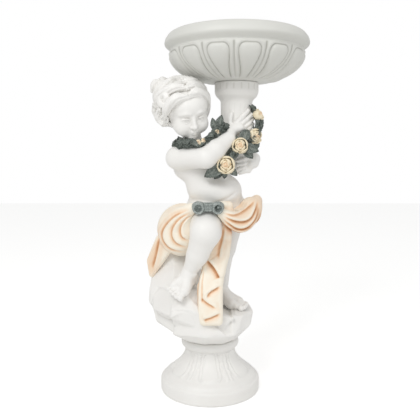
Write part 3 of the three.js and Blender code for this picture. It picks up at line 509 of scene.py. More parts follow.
def sculpted(name, clay, hollow_size, relax=1, marks=None):
    """The clay's skin as a piece that remembers how deep each point lies in a fold."""
    points, faces = skin(clay)
    calm = np.clip(clay.value, -2.5 * hollow_size, 2.5 * hollow_size)
    cells = max(1, int(round(hollow_size / clay.cell)))
    for axis in (0, 1, 2):
        calm = box_blur(calm, cells, axis)
    depth = -sampled(calm, (points - clay.low) / clay.cell) / hollow_size
    for _ in range(relax):
        total = np.zeros_like(points)
        times = np.zeros(len(points))
        for a, b in ((0, 1), (1, 2), (2, 3), (3, 0)):
            for p, q in ((a, b), (b, a)):
                np.add.at(total, faces[:, p], points[faces[:, q]])
                np.add.at(times, faces[:, p], 1)
        points = 0.5 * points + 0.5 * total / np.maximum(times, 1)[:, None]
    own = {"hollow": depth}
    for key, rule in (marks or {}).items():
        own[key] = rule(points)
    return finished(name, points, faces, marks=own)


# The head, in a frame of its own that turns, bows and leans.

HEAD = vec(-63, -58, 638)
HEAD_TURN, HEAD_BOW, HEAD_LEAN = 23, 24, -11
head_place = (
    Matrix.Rotation(math.radians(HEAD_TURN), 3, "Z")
    @ Matrix.Rotation(math.radians(HEAD_BOW), 3, "X")
    @ Matrix.Rotation(math.radians(HEAD_LEAN), 3, "Y")
)
HEAD_AXES = np.array(head_place.transposed())


def on_head(x, y, z):
    return HEAD + vec(x, y, z) @ HEAD_AXES


def head_egg(centre, radii):
    return egg(on_head(*centre), radii, HEAD_AXES)


def on_hair(bearing, height, lift=0.0):
    """A point on the hair, by its bearing from the face and its height in degrees."""
    a, e = math.radians(bearing), math.radians(height)
    x, y, z = math.sin(a) * math.cos(e), -math.cos(a) * math.cos(e), math.sin(e)
    return on_head(x * (66 + lift) - 9, 14 + y * (70 + lift), 16 + z * (63 + lift))


def model_face(clay):
    """The skull and a plain, calm child's face, built from soft rounded forms."""
    clay.add(head_egg([0, 8, 14], [57, 64, 60]))
    clay.add(head_egg([0, -16, -20], [47, 44, 46]), 14)
    clay.add(head_egg([0, -22, 24], [45, 40, 32]), 12)
    for side in (-1, 1):
        clay.add(ball(on_head(side * 25, -38, -26), 21), 12)
        clay.carve(head_egg([side * 20, -67, -3], [14.5, 11, 10]), 7)
        clay.add(ball(on_head(side * 20.5, -45.5, -4), 12), 1)
        # Brow ridge, upper lid and lower lid.
        brow = [on_head(side * 10, -59.5, 13), on_head(side * 21, -58.5, 15.5), on_head(side * 34, -48, 11)]
        clay.add(strand(brow, [0.8, 2.4, 1.6]), 9)
        lid = [(9, -54.5, -5), (14, -58.6, 0.5), (20, -59.6, 2.2), (27, -56.5, 0.2), (32, -49.5, -4.5)]
        clay.add(strand([on_head(side * x, y, z) for x, y, z in lid], [1.2, 1.9, 2.1, 1.9, 1.2]), 1.2)
        lower = [(10, -54.5, -6), (15, -57.4, -9.4), (21, -57.6, -10.4), (27, -54.8, -8.6), (32, -49.5, -5)]
        clay.add(strand([on_head(side * x, y, z) for x, y, z in lower], [1.0, 1.3, 1.4, 1.2, 0.9]), 1.6)
        crease = [(11, -57.5, 1.5), (20, -60.4, 5.8), (31, -52.5, 2)]
        clay.carve(strand([on_head(side * x, y - 1.2, z) for x, y, z in crease], [0.7, 1.1, 0.7]), 1.6)
        # Wings of the nose, nostrils.
        clay.add(ball(on_head(side * 6.2, -64, -22), 4.6), 3)
        clay.carve(ball(on_head(side * 3.4, -67.5, -26.2), 1.5), 1.2)
    clay.add(limb(on_head(0, -58.5, 2), 4.5, on_head(0, -67.5, -19), 5.5), 6)
    clay.add(ball(on_head(0, -69, -21), 5.6), 3)
    clay.add(ball(on_head(0, -50, -37), 13), 9)
    # Lips: two soft rolls above and one below, with the line of the mouth between.
    upper = [(-11, -57.5, -37.2), (-5, -63, -34.9), (0, -63.8, -35.6), (5, -63, -34.9), (11, -57.5, -37.2)]
    clay.add(strand([on_head(*p) for p in upper], [1.4, 2.9, 2.6, 2.9, 1.4]), 2)
    below = [(-9, -57.5, -39.2), (0, -62.6, -41), (9, -57.5, -39.2)]
    clay.add(strand([on_head(*p) for p in below], [1.6, 3.6, 1.6]), 2)
    line = [(-12.5, -58, -37.6), (-5, -65.4, -38), (0, -66.4, -38.2), (5, -65.4, -38), (12.5, -58, -37.6)]
    clay.carve(strand([on_head(*p) for p in line], [0.9, 0.9, 0.9, 0.9, 0.9]), 1)
    clay.carve(limb(on_head(0, -67, -28), 1.5, on_head(0, -66.5, -32), 1.5), 2)
    clay.add(ball(on_head(0, -47.5, -54.5), 12.5), 9)
    clay.carve(limb(on_head(-6, -61.5, -47), 1.6, on_head(6, -61.5, -47), 1.6), 3)


# Locks round the face, from root to tip, as bearing from the face and height in degrees.
FRONT_LOCKS = [
    [[2, 37], [34, 41], [62, 20], [74, -6]],
    [[-4, 37], [-30, 35], [-50, 14], [-60, -12]],
    [[6, 58], [46, 58], [82, 32], [94, -2]],
    [[-8, 60], [-48, 58], [-84, 30], [-96, 2]],
    [[20, 78], [70, 66], [108, 34], [116, 0]],
    [[74, 0], [84, -18], [76, -34], [90, -46]],
    [[-74, 0], [-84, -20], [-76, -34], [-92, -46]],
    [[100, 6], [110, -16], [104, -34], [116, -48]],
    [[-100, 6], [-110, -16], [-104, -36], [-116, -48]],
]
BACK_LOCKS = 7
TOPKNOT = vec(-136, -36, 700)


def combed(form, spacing, depth, waves):
    """A mass of hair whose strands run round the face in waves."""

    def distance(x, y, z):
        d = (x - HEAD[0], y - HEAD[1], z - HEAD[2])
        lx, ly, lz = (axis[0] * d[0] + axis[1] * d[1] + axis[2] * d[2] for axis in HEAD_AXES)
        lx, ly, lz = lx + 9.0, ly - 14.0, lz - 16.0
        size = np.sqrt(lx * lx + ly * ly + lz * lz) + 1e-6
        off_face = np.degrees(np.arccos(np.clip(-ly / size, -1.0, 1.0)))
        around = np.arctan2(lz, lx)
        strand_place = off_face + waves * np.sin(6.0 * around + off_face / 17.0)
        fine = np.cos(2 * np.pi * strand_place / (0.43 * spacing) + 3.0 * around)
        coarse = np.cos(2 * np.pi * strand_place / spacing)
        return form.distance(x, y, z) + depth * (coarse + 0.5 * fine)

    return Form(form.low - 2 * depth, form.high + 2 * depth, distance)


# Small curls by bearing, height and size: at the temples, the ears and the nape.
CURLS = [
    [-66, -20, 12], [-82, -10, 12], [-84, -34, 13], [-70, -42, 11], [-104, -22, 12], [-100, -48, 11],
    [-118, -38, 12], [-86, -58, 10], [-66, 30, 22], [76, -10, 9], [84, -28, 10], [72, -28, 8],
    [98, -20, 10], [96, -44, 9], [112, -34, 10], [-104, 12, 14], [-128, -14, 12], [128, -14, 12],
]


def curl(clay, bearing, height, size):
    """A curl: a ridged coil that ends in a point on the hair's surface."""
    out = unit(on_hair(bearing, height, 10) - on_hair(bearing, height, 0))
    side = unit(np.cross(out, HEAD_AXES[2]))
    up = np.cross(side, out)
    path = []
    for n in range(7):
        turn = math.radians(bearing * 3 + 70 * n)
        reach = size * (1.0 - 0.13 * n)
        middle = on_hair(bearing, height, 0.9 * n - 0.18 * size)
        path.append(middle + (side * math.cos(turn) + up * math.sin(turn)) * reach)
    clay.add(rope(path, [0.3 * size, 0.5 * size, 0.5 * size, 0.3 * size], 5, 1.0, 1.0, 22), 1.2)


def model_hair(clay):
    """Locks over a combed mass, small curls at the edges, and a topknot."""
    clay.add(combed(head_egg([-9, 20, 20], [68, 62, 56]), 8.0, 0.9, 4.0), 3)
    for i in range(BACK_LOCKS):
        bearing = 126 + 108 * i / (BACK_LOCKS - 1)
        points = [
            on_hair(bearing + (8 if n % 2 else -5), height, 2)
            for n, height in enumerate((66, 30, -6, -36))
        ]
        clay.add(rope(points, [11, 14, 13, 8], 9, 1.9, 1.6, 22), 2)
    for n, lock in enumerate(FRONT_LOCKS[::-1]):
        points = [on_hair(bearing, height, 3) for bearing, height in lock]
        clay.add(rope(points, [8, 14, 13, 7], 8, 2.1, 1.2 if n % 2 else -1.4, 26), 1.5)
        # A thin loose strand that winds over the lock.
        loose = [
            on_hair(bearing + 5 * (-1) ** i, height + 3 * (-1) ** i, 12)
            for i, (bearing, height) in enumerate(lock)
        ]
        clay.add(rope(loose, [2, 4.5, 4.5, 2], 3, 0.9, 2.0, 26), 1.5)
    for place in CURLS:
        curl(clay, *place)
    clay.add(ball(TOPKNOT, 21), 6)
    for n in range(6):
        turn = math.radians(60 * n + 15)
        arch = [
            TOPKNOT + vec(20 * math.cos(turn), 20 * math.sin(turn), -8),
            TOPKNOT + vec(20 * math.cos(turn + 0.5), 20 * math.sin(turn + 0.5), 6),
            TOPKNOT + vec(14 * math.cos(turn + 1.1), 14 * math.sin(turn + 1.1), 17),
            TOPKNOT + vec(3 * math.cos(turn + 1.8), 3 * math.sin(turn + 1.8), 21),
        ]
        clay.add(rope(arch, [6, 8, 7, 4], 5, 1.5, 1.0, 18), 1.5)
    roll = [vec(14, -14, 2), vec(8, 2, 16), vec(22, 8, 8), vec(36, 6, 12)]
    clay.add(rope([TOPKNOT + p for p in roll], [12, 16, 16, 12], 8, 2.0, 1.4, 20), 2)


# The body's joints, in millimetres of the casting.

SHOULDER = {"right": vec(-88, -48, 513), "left": vec(2, 32, 519)}
ELBOW = {"right": vec(-10, -104, 513), "left": vec(102, 80, 500)}
WRIST = {"right": vec(50, -66, 566), "left": on_column(-8, 510, 6)}
HIP = {"right": vec(-12, -8, 366), "left": vec(50, 12, 366)}
KNEE = {"right": vec(-11, -122, 321), "left": vec(42, 8, 258)}
CALF = {"right": vec(-34, -110, 256), "left": vec(33, 16, 214)}
ANKLE = {"right": vec(-55, -98, 210), "left": vec(33, 16, 132)}
CHEST_TURN = turned_axes(42)


def model_torso(clay):
    """Chest, belly, hips, neck and shoulders as melted eggs and limbs."""
    clay.add(egg([-42, -10, 506], [56, 44, 50], CHEST_TURN))
    clay.add(egg([-12, -8, 464], [66, 54, 52], CHEST_TURN), 20)
    clay.add(egg([13, -6, 424], [82, 66, 50], CHEST_TURN), 18)
    clay.add(egg([26, -22, 412], [62, 56, 42], CHEST_TURN), 16)
    clay.add(egg([17, 4, 376], [82, 70, 50], turned_axes(12)), 14)
    clay.add(egg([-62, -2, 484], [42, 38, 34], CHEST_TURN), 14)
    clay.add(ball([-14, 40, 366], 44), 12)
    clay.add(ball([48, 44, 364], 44), 12)
    clay.add(limb([-44, -10, 535], 27, [-52, -40, 586], 25), 14)
    clay.add(limb(SHOULDER["right"], 30, [-46, -14, 530], 26), 14)
    clay.add(limb(SHOULDER["left"], 29, [-40, -4, 530], 26), 14)


def model_arms(clay):
    elbow, wrist = ELBOW["right"], WRIST["right"]
    clay.add(limb(SHOULDER["right"], 31, elbow, 27), 8)
    clay.add(limb(elbow, 27, mix(elbow, wrist, 0.4), 27), 6)
    clay.add(limb(mix(elbow, wrist, 0.4), 27, wrist, 19), 6)
    clay.add(limb(SHOULDER["left"], 30, ELBOW["left"], 25), 8)
    clay.add(limb(ELBOW["left"], 25, WRIST["left"], 18), 6)


# The fold under the belly, as x and z along the body's front.
BELLY_FOLD = [[76, 426], [58, 412], [34, 400], [6, 392]]


def model_creases(clay):
    """The crease under the belly and the hollow of the spine."""
    points = [surface(clay, x, z) for x, z in BELLY_FOLD]
    clay.carve(strand(points, [0.5, 2.4, 2.4, 0.5], 16), 5)
    spine = [surface(clay, x, z, True) for x, z in ([-34, 520], [-22, 480], [-4, 436], [12, 400])]
    clay.carve(strand(spine, [1, 4, 5, 3], 18), 12)


# Hands that hold the column: fingers as joints, each an angle round the column and a height.
HANDS = [
    {
        "wrist": WRIST["right"],
        "palm": [on_column(-106, 588, 11), on_column(-84, 593, 9)],
        "fingers": [
            [[-111, 598], [-113, 618], [-109, 634]],
            [[-93, 606], [-72, 626], [-52, 642]],
            [[-83, 600], [-58, 618], [-35, 632]],
            [[-74, 591], [-48, 607], [-24, 620]],
            [[-68, 582], [-44, 595], [-22, 606]],
        ],
        "radius": 6.4,
    },
    {
        "wrist": WRIST["left"],
        "palm": [on_column(-28, 500, 9), on_column(-44, 495, 9)],
        "fingers": [
            [[-46, 511], [-68, 509], [-90, 504]],
            [[-44, 500], [-68, 498], [-89, 493]],
            [[-46, 489], [-68, 487], [-85, 482]],
            [[-50, 478], [-66, 476], [-81, 471]],
        ],
        "radius": 5.7,
    },
]


def model_hand(clay, hand):
    """A palm and jointed fingers that lie on the column."""
    clay.add(limb(hand["wrist"], 18, hand["palm"][0], 15), 6)
    clay.add(limb(hand["palm"][0], 15, hand["palm"][1], 14), 4)
    for finger in hand["fingers"]:
        joints = [on_column(turn, z, 7 - 1.5 * i) for i, (turn, z) in enumerate(finger)]
        radius = hand["radius"]
        clay.add(limb(hand["palm"][1], 9, joints[0], radius + 1.4), 5)
        clay.add(limb(joints[0], radius + 0.9, joints[1], radius), 1.2)
        clay.add(limb(joints[1], radius + 0.4, joints[2], radius - 0.9), 1.2)
        outward = unit(joints[2] - vec(COLUMN[0], COLUMN[1], joints[2][2]))
        clay.carve(ball(joints[2] + outward * (radius + 1.2), 2.6), 1.0)


def model_legs(clay):
    for side, knee, calf in (("right", 41, 29), ("left", 32, 28)):
        clay.add(limb(HIP[side], 55, KNEE[side], knee), 10)
        clay.add(limb(KNEE[side], knee - 2, CALF[side], calf), 8)
        clay.add(limb(CALF[side], calf, ANKLE[side], 18.5), 6)


# Feet: the treads are where the big and the little toe begin, and the toes are their tips.
FEET = [
    {
        "side": "right",
        "heel": vec(-48, -80, 190),
        "treads": [vec(-68, -126, 164), vec(-96, -112, 176)],
        "toes": [vec(-78, -143, 149), vec(-115, -127, 167)],
    },
    {
        "side": "left",
        "heel": vec(30, 28, 106),
        "treads": [vec(62, -28, 100), vec(84, -6, 104)],
        "toes": [vec(86, -54, 97), vec(112, -24, 98)],
    },
]
TOE_RADII = [8.4, 6.4, 6.2, 5.8, 5.2]
TOE_REACH = [1.0, 1.08, 1.0, 0.9, 0.76]


def model_foot(clay, foot):
    """A small foot from ankle to toes."""
    ankle, calf = ANKLE[foot["side"]], CALF[foot["side"]]
    heel, treads, toes = foot["heel"], foot["treads"], foot["toes"]
    clay.add(limb(mix(ankle, calf, 0.45), 19, ankle, 17.5), 4)
    clay.add(limb(ankle, 17.5, heel, 17), 8)
    for n, tread in enumerate(treads):
        clay.add(limb(heel, 14, tread, 13 - 2 * n), 8)
        clay.add(limb(ankle, 14, tread, 11 - 2 * n), 10)
    for side in (-1, 1):
        across = unit(treads[1] - treads[0]) * side * 14
        clay.add(ball(ankle + across, 8), 6)
    for i in range(5):
        root = mix(treads[0], treads[1], i / 4)
        tip = root + (mix(toes[0], toes[1], i / 4) - root) * TOE_REACH[i]
        radius = TOE_RADII[i]
        clay.add(limb(mix(root, tip, 0.2), radius + 1.5, mix(root, tip, 0.62), radius - 0.4), 2.5)
        clay.add(ball(tip, radius), 1.2)


# The drapery, gathered at the clasp.

CLASP = vec(-5, -116, 384)

# Folds as x and z, with the height of the swell, its width and the depth of the drop beside it.
# Going along a fold, the cloth swells up to it on the left and drops on the right.
PLEAT_FOLDS = [
    [[[-42, 386], [-104, 361], [-138, 312], [-117, 263], [-64, 252]], 2.0, 9, 1.5],
    [[[-41, 383], [-95, 356], [-126, 312], [-109, 275], [-60, 262]], 6.0, 15, 3.0],
    [[[-39, 375], [-80, 351], [-99, 319], [-90, 291], [-56, 276]], 6.0, 14, 3.0],
    [[[-37, 369], [-65, 349], [-76, 327], [-72, 306], [-50, 294]], 5.0, 12, 3.0],
]
SWAG_FOLDS = [
    [[[30, 374], [65, 366], [96, 378], [124, 402]], 3.0, 9, 2.0],
    [[[28, 368], [56, 354], [85, 347], [107, 354], [121, 376], [129, 402]], 5.5, 12, 3.5],
    [[[26, 362], [52, 342], [76, 328], [101, 331], [122, 352], [132, 386]], 5.5, 12, 4.0],
    [[[24, 357], [45, 335], [69, 319], [91, 316], [109, 323], [128, 345], [140, 376]], 5.0, 11, 4.0],
]
TAIL_FOLDS = [
    [[[-4, 240], [-2, 236], [11, 222], [24, 201], [27, 194]], 5.0, 20, 8.0],
    [[[-10, 232], [-23, 208], [-27, 195], [-30, 169], [-31, 145], [-31, 112], [-30, 84]], 0.5, 8, 4.5],
    [[[-13, 222], [-17, 199], [-19, 181], [-19, 150], [-18, 130]], 1.0, 8, 3.0],
    [[[-8, 143], [-7, 154], [2, 163], [14, 170], [30, 179]], 5.0, 16, 4.5],
    [[[-20, 146], [-16, 142], [-6, 134], [6, 127], [19, 119]], 4.0, 12, 4.5],
    [[[-18, 91], [-12, 93], [-2, 96], [13, 102], [30, 111]], 4.0, 14, 4.5],
    [[[40, 336], [36, 300], [27, 264], [25, 240]], 2.5, 12, 2.5],
    [[[-136, 300], [-146, 250], [-160, 200]], 3.0, 10, 3.0],
]


def model_drapery(clay):
    """The pleats over one thigh, the swag over the other, and the roll behind."""
    clay.add(egg([-75, -50, 317], [70, 57, 73]), 6)
    clay.add(strand([CLASP + vec(-30, 4, 0), [-56, -100, 376], [-88, -84, 350]], [9, 17, 26], 14), 14)
    corner = [vec(-142, -40, 292), vec(-116, -46, 256), vec(-164, -24, 186), vec(-170, -24, 226)]
    clay.add([panel(corner[0], corner[1], corner[2], 8), panel(corner[0], corner[2], corner[3], 8)], 6)
    clay.add(egg([84, -18, 352], [46, 52, 32], turned_axes(30)), 8)
    for lift in (0, 12, 24):
        path = [
            [30, -112, 364 + 0.4 * lift], [58, -100, 334 + lift], [88, -80, 326 + 1.3 * lift],
            [122, -48, 350 + 1.2 * lift], [130, -18, 386 + 0.5 * lift],
        ]
        clay.add(strand(path, [8, 13, 15, 15, 12], 24), 12)
    clay.add(egg([112, -36, 380], [27, 26, 26]), 10)
    roll = [[-108, -10, 308], [-80, 54, 326], [16, 92, 350], [104, 60, 362], [128, -6, 384]]
    clay.add(strand(roll, [20, 24, 24, 24, 18], 24), 8)
    under = [[-84, 36, 298], [-20, 76, 296], [60, 72, 304], [104, 34, 330]]
    clay.add(strand(under, [16, 18, 18, 14], 20), 6)


# The hanging tail as rows: height, how far forward, left edge and right edge.
TAIL_ROWS = [
    [388, -88, 34, 50], [342, -82, 26, 50], [292, -72, 14, 48], [251, -78, 2, 42], [213, -94, -14, 30],
    [175, -110, -24, 24], [137, -121, -25, 23], [106, -129, -23, 24], [83, -132, -17, 23],
]
TAIL_HALF = 11.0


def model_tail(clay):
    """The hanging tail as flat sheets from row to row."""
    sheets = []
    for upper, lower in zip(TAIL_ROWS, TAIL_ROWS[1:]):
        a, b = [vec(upper[side], upper[1], upper[0]) for side in (2, 3)]
        c, d = [vec(lower[side], lower[1], lower[0]) for side in (2, 3)]
        sheets += [panel(a, b, c, TAIL_HALF), panel(b, d, c, TAIL_HALF)]
    clay.add(sheets, 8)


def wash_of(points):
    """How strong the orange wash is: beside each fold, on the swag and on the trailing corner."""
    x, z = points[:, 0], points[:, 2]
    wash = 0.34 * ease((x - 30) / 30) * ease((z - 300) / 14)
    wash += 0.36 * ease((-122 - x) / 18) * ease((300 - z) / 30)
    wash += 0.16 * ease((x + 10) / 20) * ease((z - 205) / 50) * (z < 330)
    for path, _, wide, _ in PLEAT_FOLDS[1:] + SWAG_FOLDS + TAIL_FOLDS:
        wash += 0.55 * fold_relief(x, z, path, -0.2, 1.5 * wide, -1.0)
    return wash


# The rock: broken blocks, with shallow chips struck off by large balls.
CHIPS = 70
CHIP_MOST = 3.5  # the deepest that a chip may cut
CHIP_WINDOW = 70


def model_rock(clay):
    """The blocks and their chips."""
    seat = SEAT_RADIUS - 4
    ring = [
        [seat * math.cos(math.radians(36 * i + 8)), seat * math.sin(math.radians(36 * i + 8)), 0]
        for i in range(10)
    ]
    ledge = [
        [-150, -62, 62], [-96, -128, 44], [-8, -142, 40], [66, -118, 38], [112, -66, 52],
        [122, 22, 50], [84, 92, 48], [6, 118, 44], [-84, 104, 52], [-140, 44, 66],
        [-168, -34, 112], [-150, 52, 120], [-70, -132, 96], [20, -112, 92], [92, -82, 84],
        [122, -36, 86], [112, 52, 88], [40, 94, 92], [-60, 96, 104],
    ]
    outcrop = [
        [-172, -46, 116], [-158, -92, 104], [-98, -158, 98], [-42, -140, 116], [-30, -70, 186],
        [-46, 0, 258], [-104, -14, 262], [-164, -20, 184], [-150, 60, 130], [-30, 62, 120],
        [10, 20, 96], [-120, -60, 60], [-60, 60, 200], [-170, -40, 150],
    ]
    shelf = [
        [-20, -128, 44], [34, -122, 52], [66, -112, 88], [-44, -126, 120], [-40, -60, 130],
        [40, -40, 88], [10, -60, 30], [60, -70, 40],
    ]
    step = [
        [-112, -150, 98], [-40, -142, 112], [30, -112, 92], [-20, -70, 170], [-96, -120, 66],
        [-20, -136, 60], [40, -110, 60], [-60, -60, 120], [-30, -84, 176],
    ]
    for points in (ring + ledge, outcrop, shelf, step):
        clay.add(block(points, 1.5), 2)
    points, _ = skin(clay)
    slope = np.stack(np.gradient(clay.value), axis=3)
    for _ in range(CHIPS):
        spot = points[rng.integers(len(points))]
        cell = tuple(np.round((spot - clay.low) / clay.cell).astype(int))
        out = unit(slope[cell])
        size, depth = rng.uniform(60, 260), rng.uniform(1.0, 3.2)
        chip = ball(spot + out * (size - depth), size)
        if spot[2] > 6:
            place, grid = clay.window(spot, spot, CHIP_WINDOW)
            whole = clay.value[place]
            cut = np.minimum(-chip.distance(*grid), whole + CHIP_MOST)
            clay.value[place] = np.maximum(whole, cut)


# Turned pieces: the foot, the column and the bowl.


def rounded(profile, step, passes):
    """The profile in even steps, with its corners softened as paint and moulding leave them."""
    knots = vec(profile)
    lengths = np.linalg.norm(np.diff(knots, axis=0), axis=1)
    travel = np.concatenate([[0], np.cumsum(lengths)])
    count = int(travel[-1] / step) + 1
    even = np.linspace(0, travel[-1], count)
    line = np.stack([np.interp(even, travel, knots[:, i]) for i in (0, 1)], axis=1)
    for _ in range(passes):
        line[1:-1] = 0.25 * line[:-2] + 0.5 * line[1:-1] + 0.25 * line[2:]
    line[0, 0] = line[-1, 0] = 0.0
    return line


def turned(name, line, segments, relief, base, centre=(0.0, 0.0), start=0.0):
    """A turned piece whose relief stands out along the profile's own normal."""
    ahead = np.gradient(line, axis=0)
    ahead /= np.linalg.norm(ahead, axis=1)[:, None] + 1e-9
    out = np.stack([ahead[:, 1], -ahead[:, 0]], axis=1)
    turns = 2 * np.pi * np.arange(segments) / segments
    rings = line[1:-1]
    r, z = rings[:, 0][:, None], rings[:, 1][:, None]
    lift = relief(turns[None, :], r, z)
    radius = r + lift * out[1:-1, 0][:, None]
    height = z + lift * out[1:-1, 1][:, None]
    turn = turns[None, :] + math.radians(start)
    grid = np.stack(
        [centre[0] + radius * np.cos(turn), centre[1] + radius * np.sin(turn), height + 0 * turn],
        axis=2,
    ).reshape(-1, 3)
    bottom, top = len(grid), len(grid) + 1
    points = np.vstack([grid, [centre[0], centre[1], line[0, 1]], [centre[0], centre[1], line[-1, 1]]])
    i = np.arange(len(rings) - 1)[:, None] * segments
    j = np.arange(segments)[None, :]
    k = (j + 1) % segments
    faces = np.stack([i + j, i + k, i + segments + k, i + segments + j], axis=2).reshape(-1, 4).tolist()
    last = (len(rings) - 1) * segments
    faces += [[bottom, int(b), int(a)] for a, b in zip(j[0], k[0])]
    faces += [[top, int(last + a), int(last + b)] for a, b in zip(j[0], k[0])]
    lifts = np.concatenate([lift.reshape(-1), [0, 0]])
    return finished(name, points, faces, base=base, marks={"lift": lifts})


def across(turn, copies, first=0.0):
    """Signed distance from the nearest centre of a pattern, as a share of half the pitch."""
    pitch = 2 * np.pi / copies
    off = (turn - math.radians(first)) / pitch
    return (off - np.round(off)) * 2


def bead(x, middle, width):
    return np.exp(-(((x - middle) / width) ** 2))


BODY_RINGS = 24


def bowl_profile():
    """Half of the bowl's section: underside, body, lip and inside."""
    side, rim, top = BOWL_RADIUS - LIP_OVERHANG, BOWL_RADIUS, BOWL_HEIGHT
    seat, body_top = BOWL_SEAT_RADIUS, BOWL_BODY_TOP
    body = []
    for i in range(1, BODY_RINGS + 1):
        a = i / BODY_RINGS * 1.5
        body.append([seat + (side - seat) * math.sin(a), body_top * (1 - math.cos(a)) ** 0.92])
    return (
        [[0, 0], [seat, 0]]
        + body
        + [[side - 4, body_top + 3], [rim - 3, top - LIP_HEIGHT], [rim, top - LIP_HEIGHT + 5]]
        + [[rim - 3, top - 0.5 * LIP_HEIGHT]]
        + [[rim - 11, top - 6], [rim - 20, top], [rim - 31, top], [rim - 33, top - 6]]
        + [[rim - 32, body_top - 4], [121, BOWL_FLOOR + 16], [70, BOWL_FLOOR + 2], [0, BOWL_FLOOR]]
    )


def petals(turn, r, z):
    """Gadroons: wide pillows with round upper corners, a raised border and a groove between."""
    up = np.clip(z / BOWL_BODY_TOP, 0, 1)
    band = ease((z - 1.0) / 5) * ease((BOWL_BODY_TOP - 1.5 - z) / 2.5)
    pitch = (math.pi / GADROONS) * r
    x = np.abs(across(turn, GADROONS))
    corner = 17.0
    side = (x - 0.46 - 0.24 * ease(up * 1.5)) * pitch + corner
    top = z - (BOWL_BODY_TOP - 8.0) + corner
    past = np.hypot(np.maximum(side, 0), np.maximum(top, 0))
    edge = corner - past - np.minimum(np.maximum(side, top), 0)
    swell = 5.0 * (1 - np.exp(-np.maximum(edge, 0) / 6.0)) * ease(up * 6)
    outline = -2.4 * bead(edge, 0.0, 2.4)
    border = 1.8 * bead(edge, -6.0, 3.0)
    dart = -2.6 * bead((1 - x) * pitch, 0.0, 2.6) * (0.35 + 0.65 * up)
    return (swell + outline + border + dart) * band


def build_bowl():
    """The bowl, with its gadroons under a plain lip."""
    line = rounded(bowl_profile(), 2.0, 2)
    outer = np.argmax(line[:, 1] > BOWL_BODY_TOP + 1)
    lip_end = np.argmax(line[:, 1])
    # The inside is plain, so its rings stand further apart.
    line = np.vstack([line[:lip_end], line[lip_end:-1:4], line[-1:]])

    def relief(turn, r, z):
        lift = petals(turn, r, z)
        lift[outer:] = 0.0
        return lift

    return turned("planter_bowl", line, 420, relief, BOWL_BASE, COLUMN, GADROON_TURN - 90)


def build_foot():
    """The turned foot, with raised tongues and leaf sprays round its flared stem."""
    disc, neck, seat = FOOT_RADIUS, NECK_RADIUS, SEAT_RADIUS
    stem_top, flare_base = FOOT_HEIGHT - SEAT_MOULDING, FOOT_BAND + 16.0
    flare = []
    for i in range(15):
        t = 1 - i / 14 * 0.94
        height = flare_base + (stem_top - flare_base) * (1 - t)
        flare.append([neck + (disc - 26 - neck) * t**FLARE_BEND, height])
    profile = (
        [[0, 0], [disc - 1.5, 0], [disc, 3], [disc, FOOT_BAND - 4], [disc - 5, FOOT_BAND]]
        + [[disc - 9, FOOT_BAND + 1], [disc - 10, FOOT_BAND + 6], [disc - 14, FOOT_BAND + 10]]
        + flare
        + [[neck + 3, stem_top], [seat - 3, stem_top + 6], [seat, stem_top + 14]]
        + [[seat - 2, FOOT_HEIGHT - 4], [seat - 7, FOOT_HEIGHT], [0, FOOT_HEIGHT]]
    )

    def relief(turn, r, z):
        up = np.clip((z - flare_base) / (stem_top - flare_base), 0, 1)
        band = ease((z - flare_base) / 4) * ease((stem_top - 1 - z) / 4)
        x = np.abs(across(turn, TONGUES))
        half_pitch = (math.pi / TONGUES) * r
        width = 0.62 * np.sqrt(np.clip(1 - ((0.5 - up) / 0.52) ** 6, 0, 1))
        edge = (width - x) * half_pitch
        tongue = 3.2 * ease(edge / 2.5 + 0.5) - 2.6 * bead(edge, 7.0, 1.8)
        y = 1 - x
        leaf_width = 0.34 * (0.45 + 0.55 * up) * (1 + 0.22 * np.cos(up * 26))
        leaf_edge = (leaf_width - y) * half_pitch
        leaf = 3.0 * ease(leaf_edge / 2.5 + 0.5) - 2.2 * bead(y * r * math.pi / 6, 0, 1.8)
        return (tongue + leaf) * band

    return turned("turned_foot", rounded(profile, 2.4, 2), 288, relief, 0.0, start=-90)


def build_column():
    """The fluted shaft and its capital."""
    bottom, under, top = CAST_HEIGHT - COLUMN_LENGTH, CAST_HEIGHT - CAPITAL_HEIGHT, CAST_HEIGHT
    shaft, cup = COLUMN_RADIUS, CAPITAL_RADIUS
    profile = [
        [0, bottom - 14], [shaft, bottom], [shaft, under - 6], [shaft + 3, under],
        [shaft + (cup - shaft) * 0.75, under + 9], [cup, under + 20], [cup, top], [0, top],
    ]

    def relief(turn, r, z):
        groove = bead(across(turn, FLUTES), 0.0, 0.22)
        edges = ease((z - under - 22) / 4) * ease((top - 3 - z) / 4) * ease((r - cup + 2) / 1.5)
        shaft_part = ease((under - 8 - z) / 6) * ease((z - bottom - 4) / 6)
        return -1.1 * groove * edges - 0.5 * groove * shaft_part

    return turned("fluted_column", rounded(profile, 3.2, 1), 216, relief, CAST_BASE, COLUMN)


# The garland of roses and leaves.

ROSE_RADIUS = 23.0
LEAF_LENGTH = 40.0
LEAF_ROWS, LEAF_COLUMNS = 18, 7

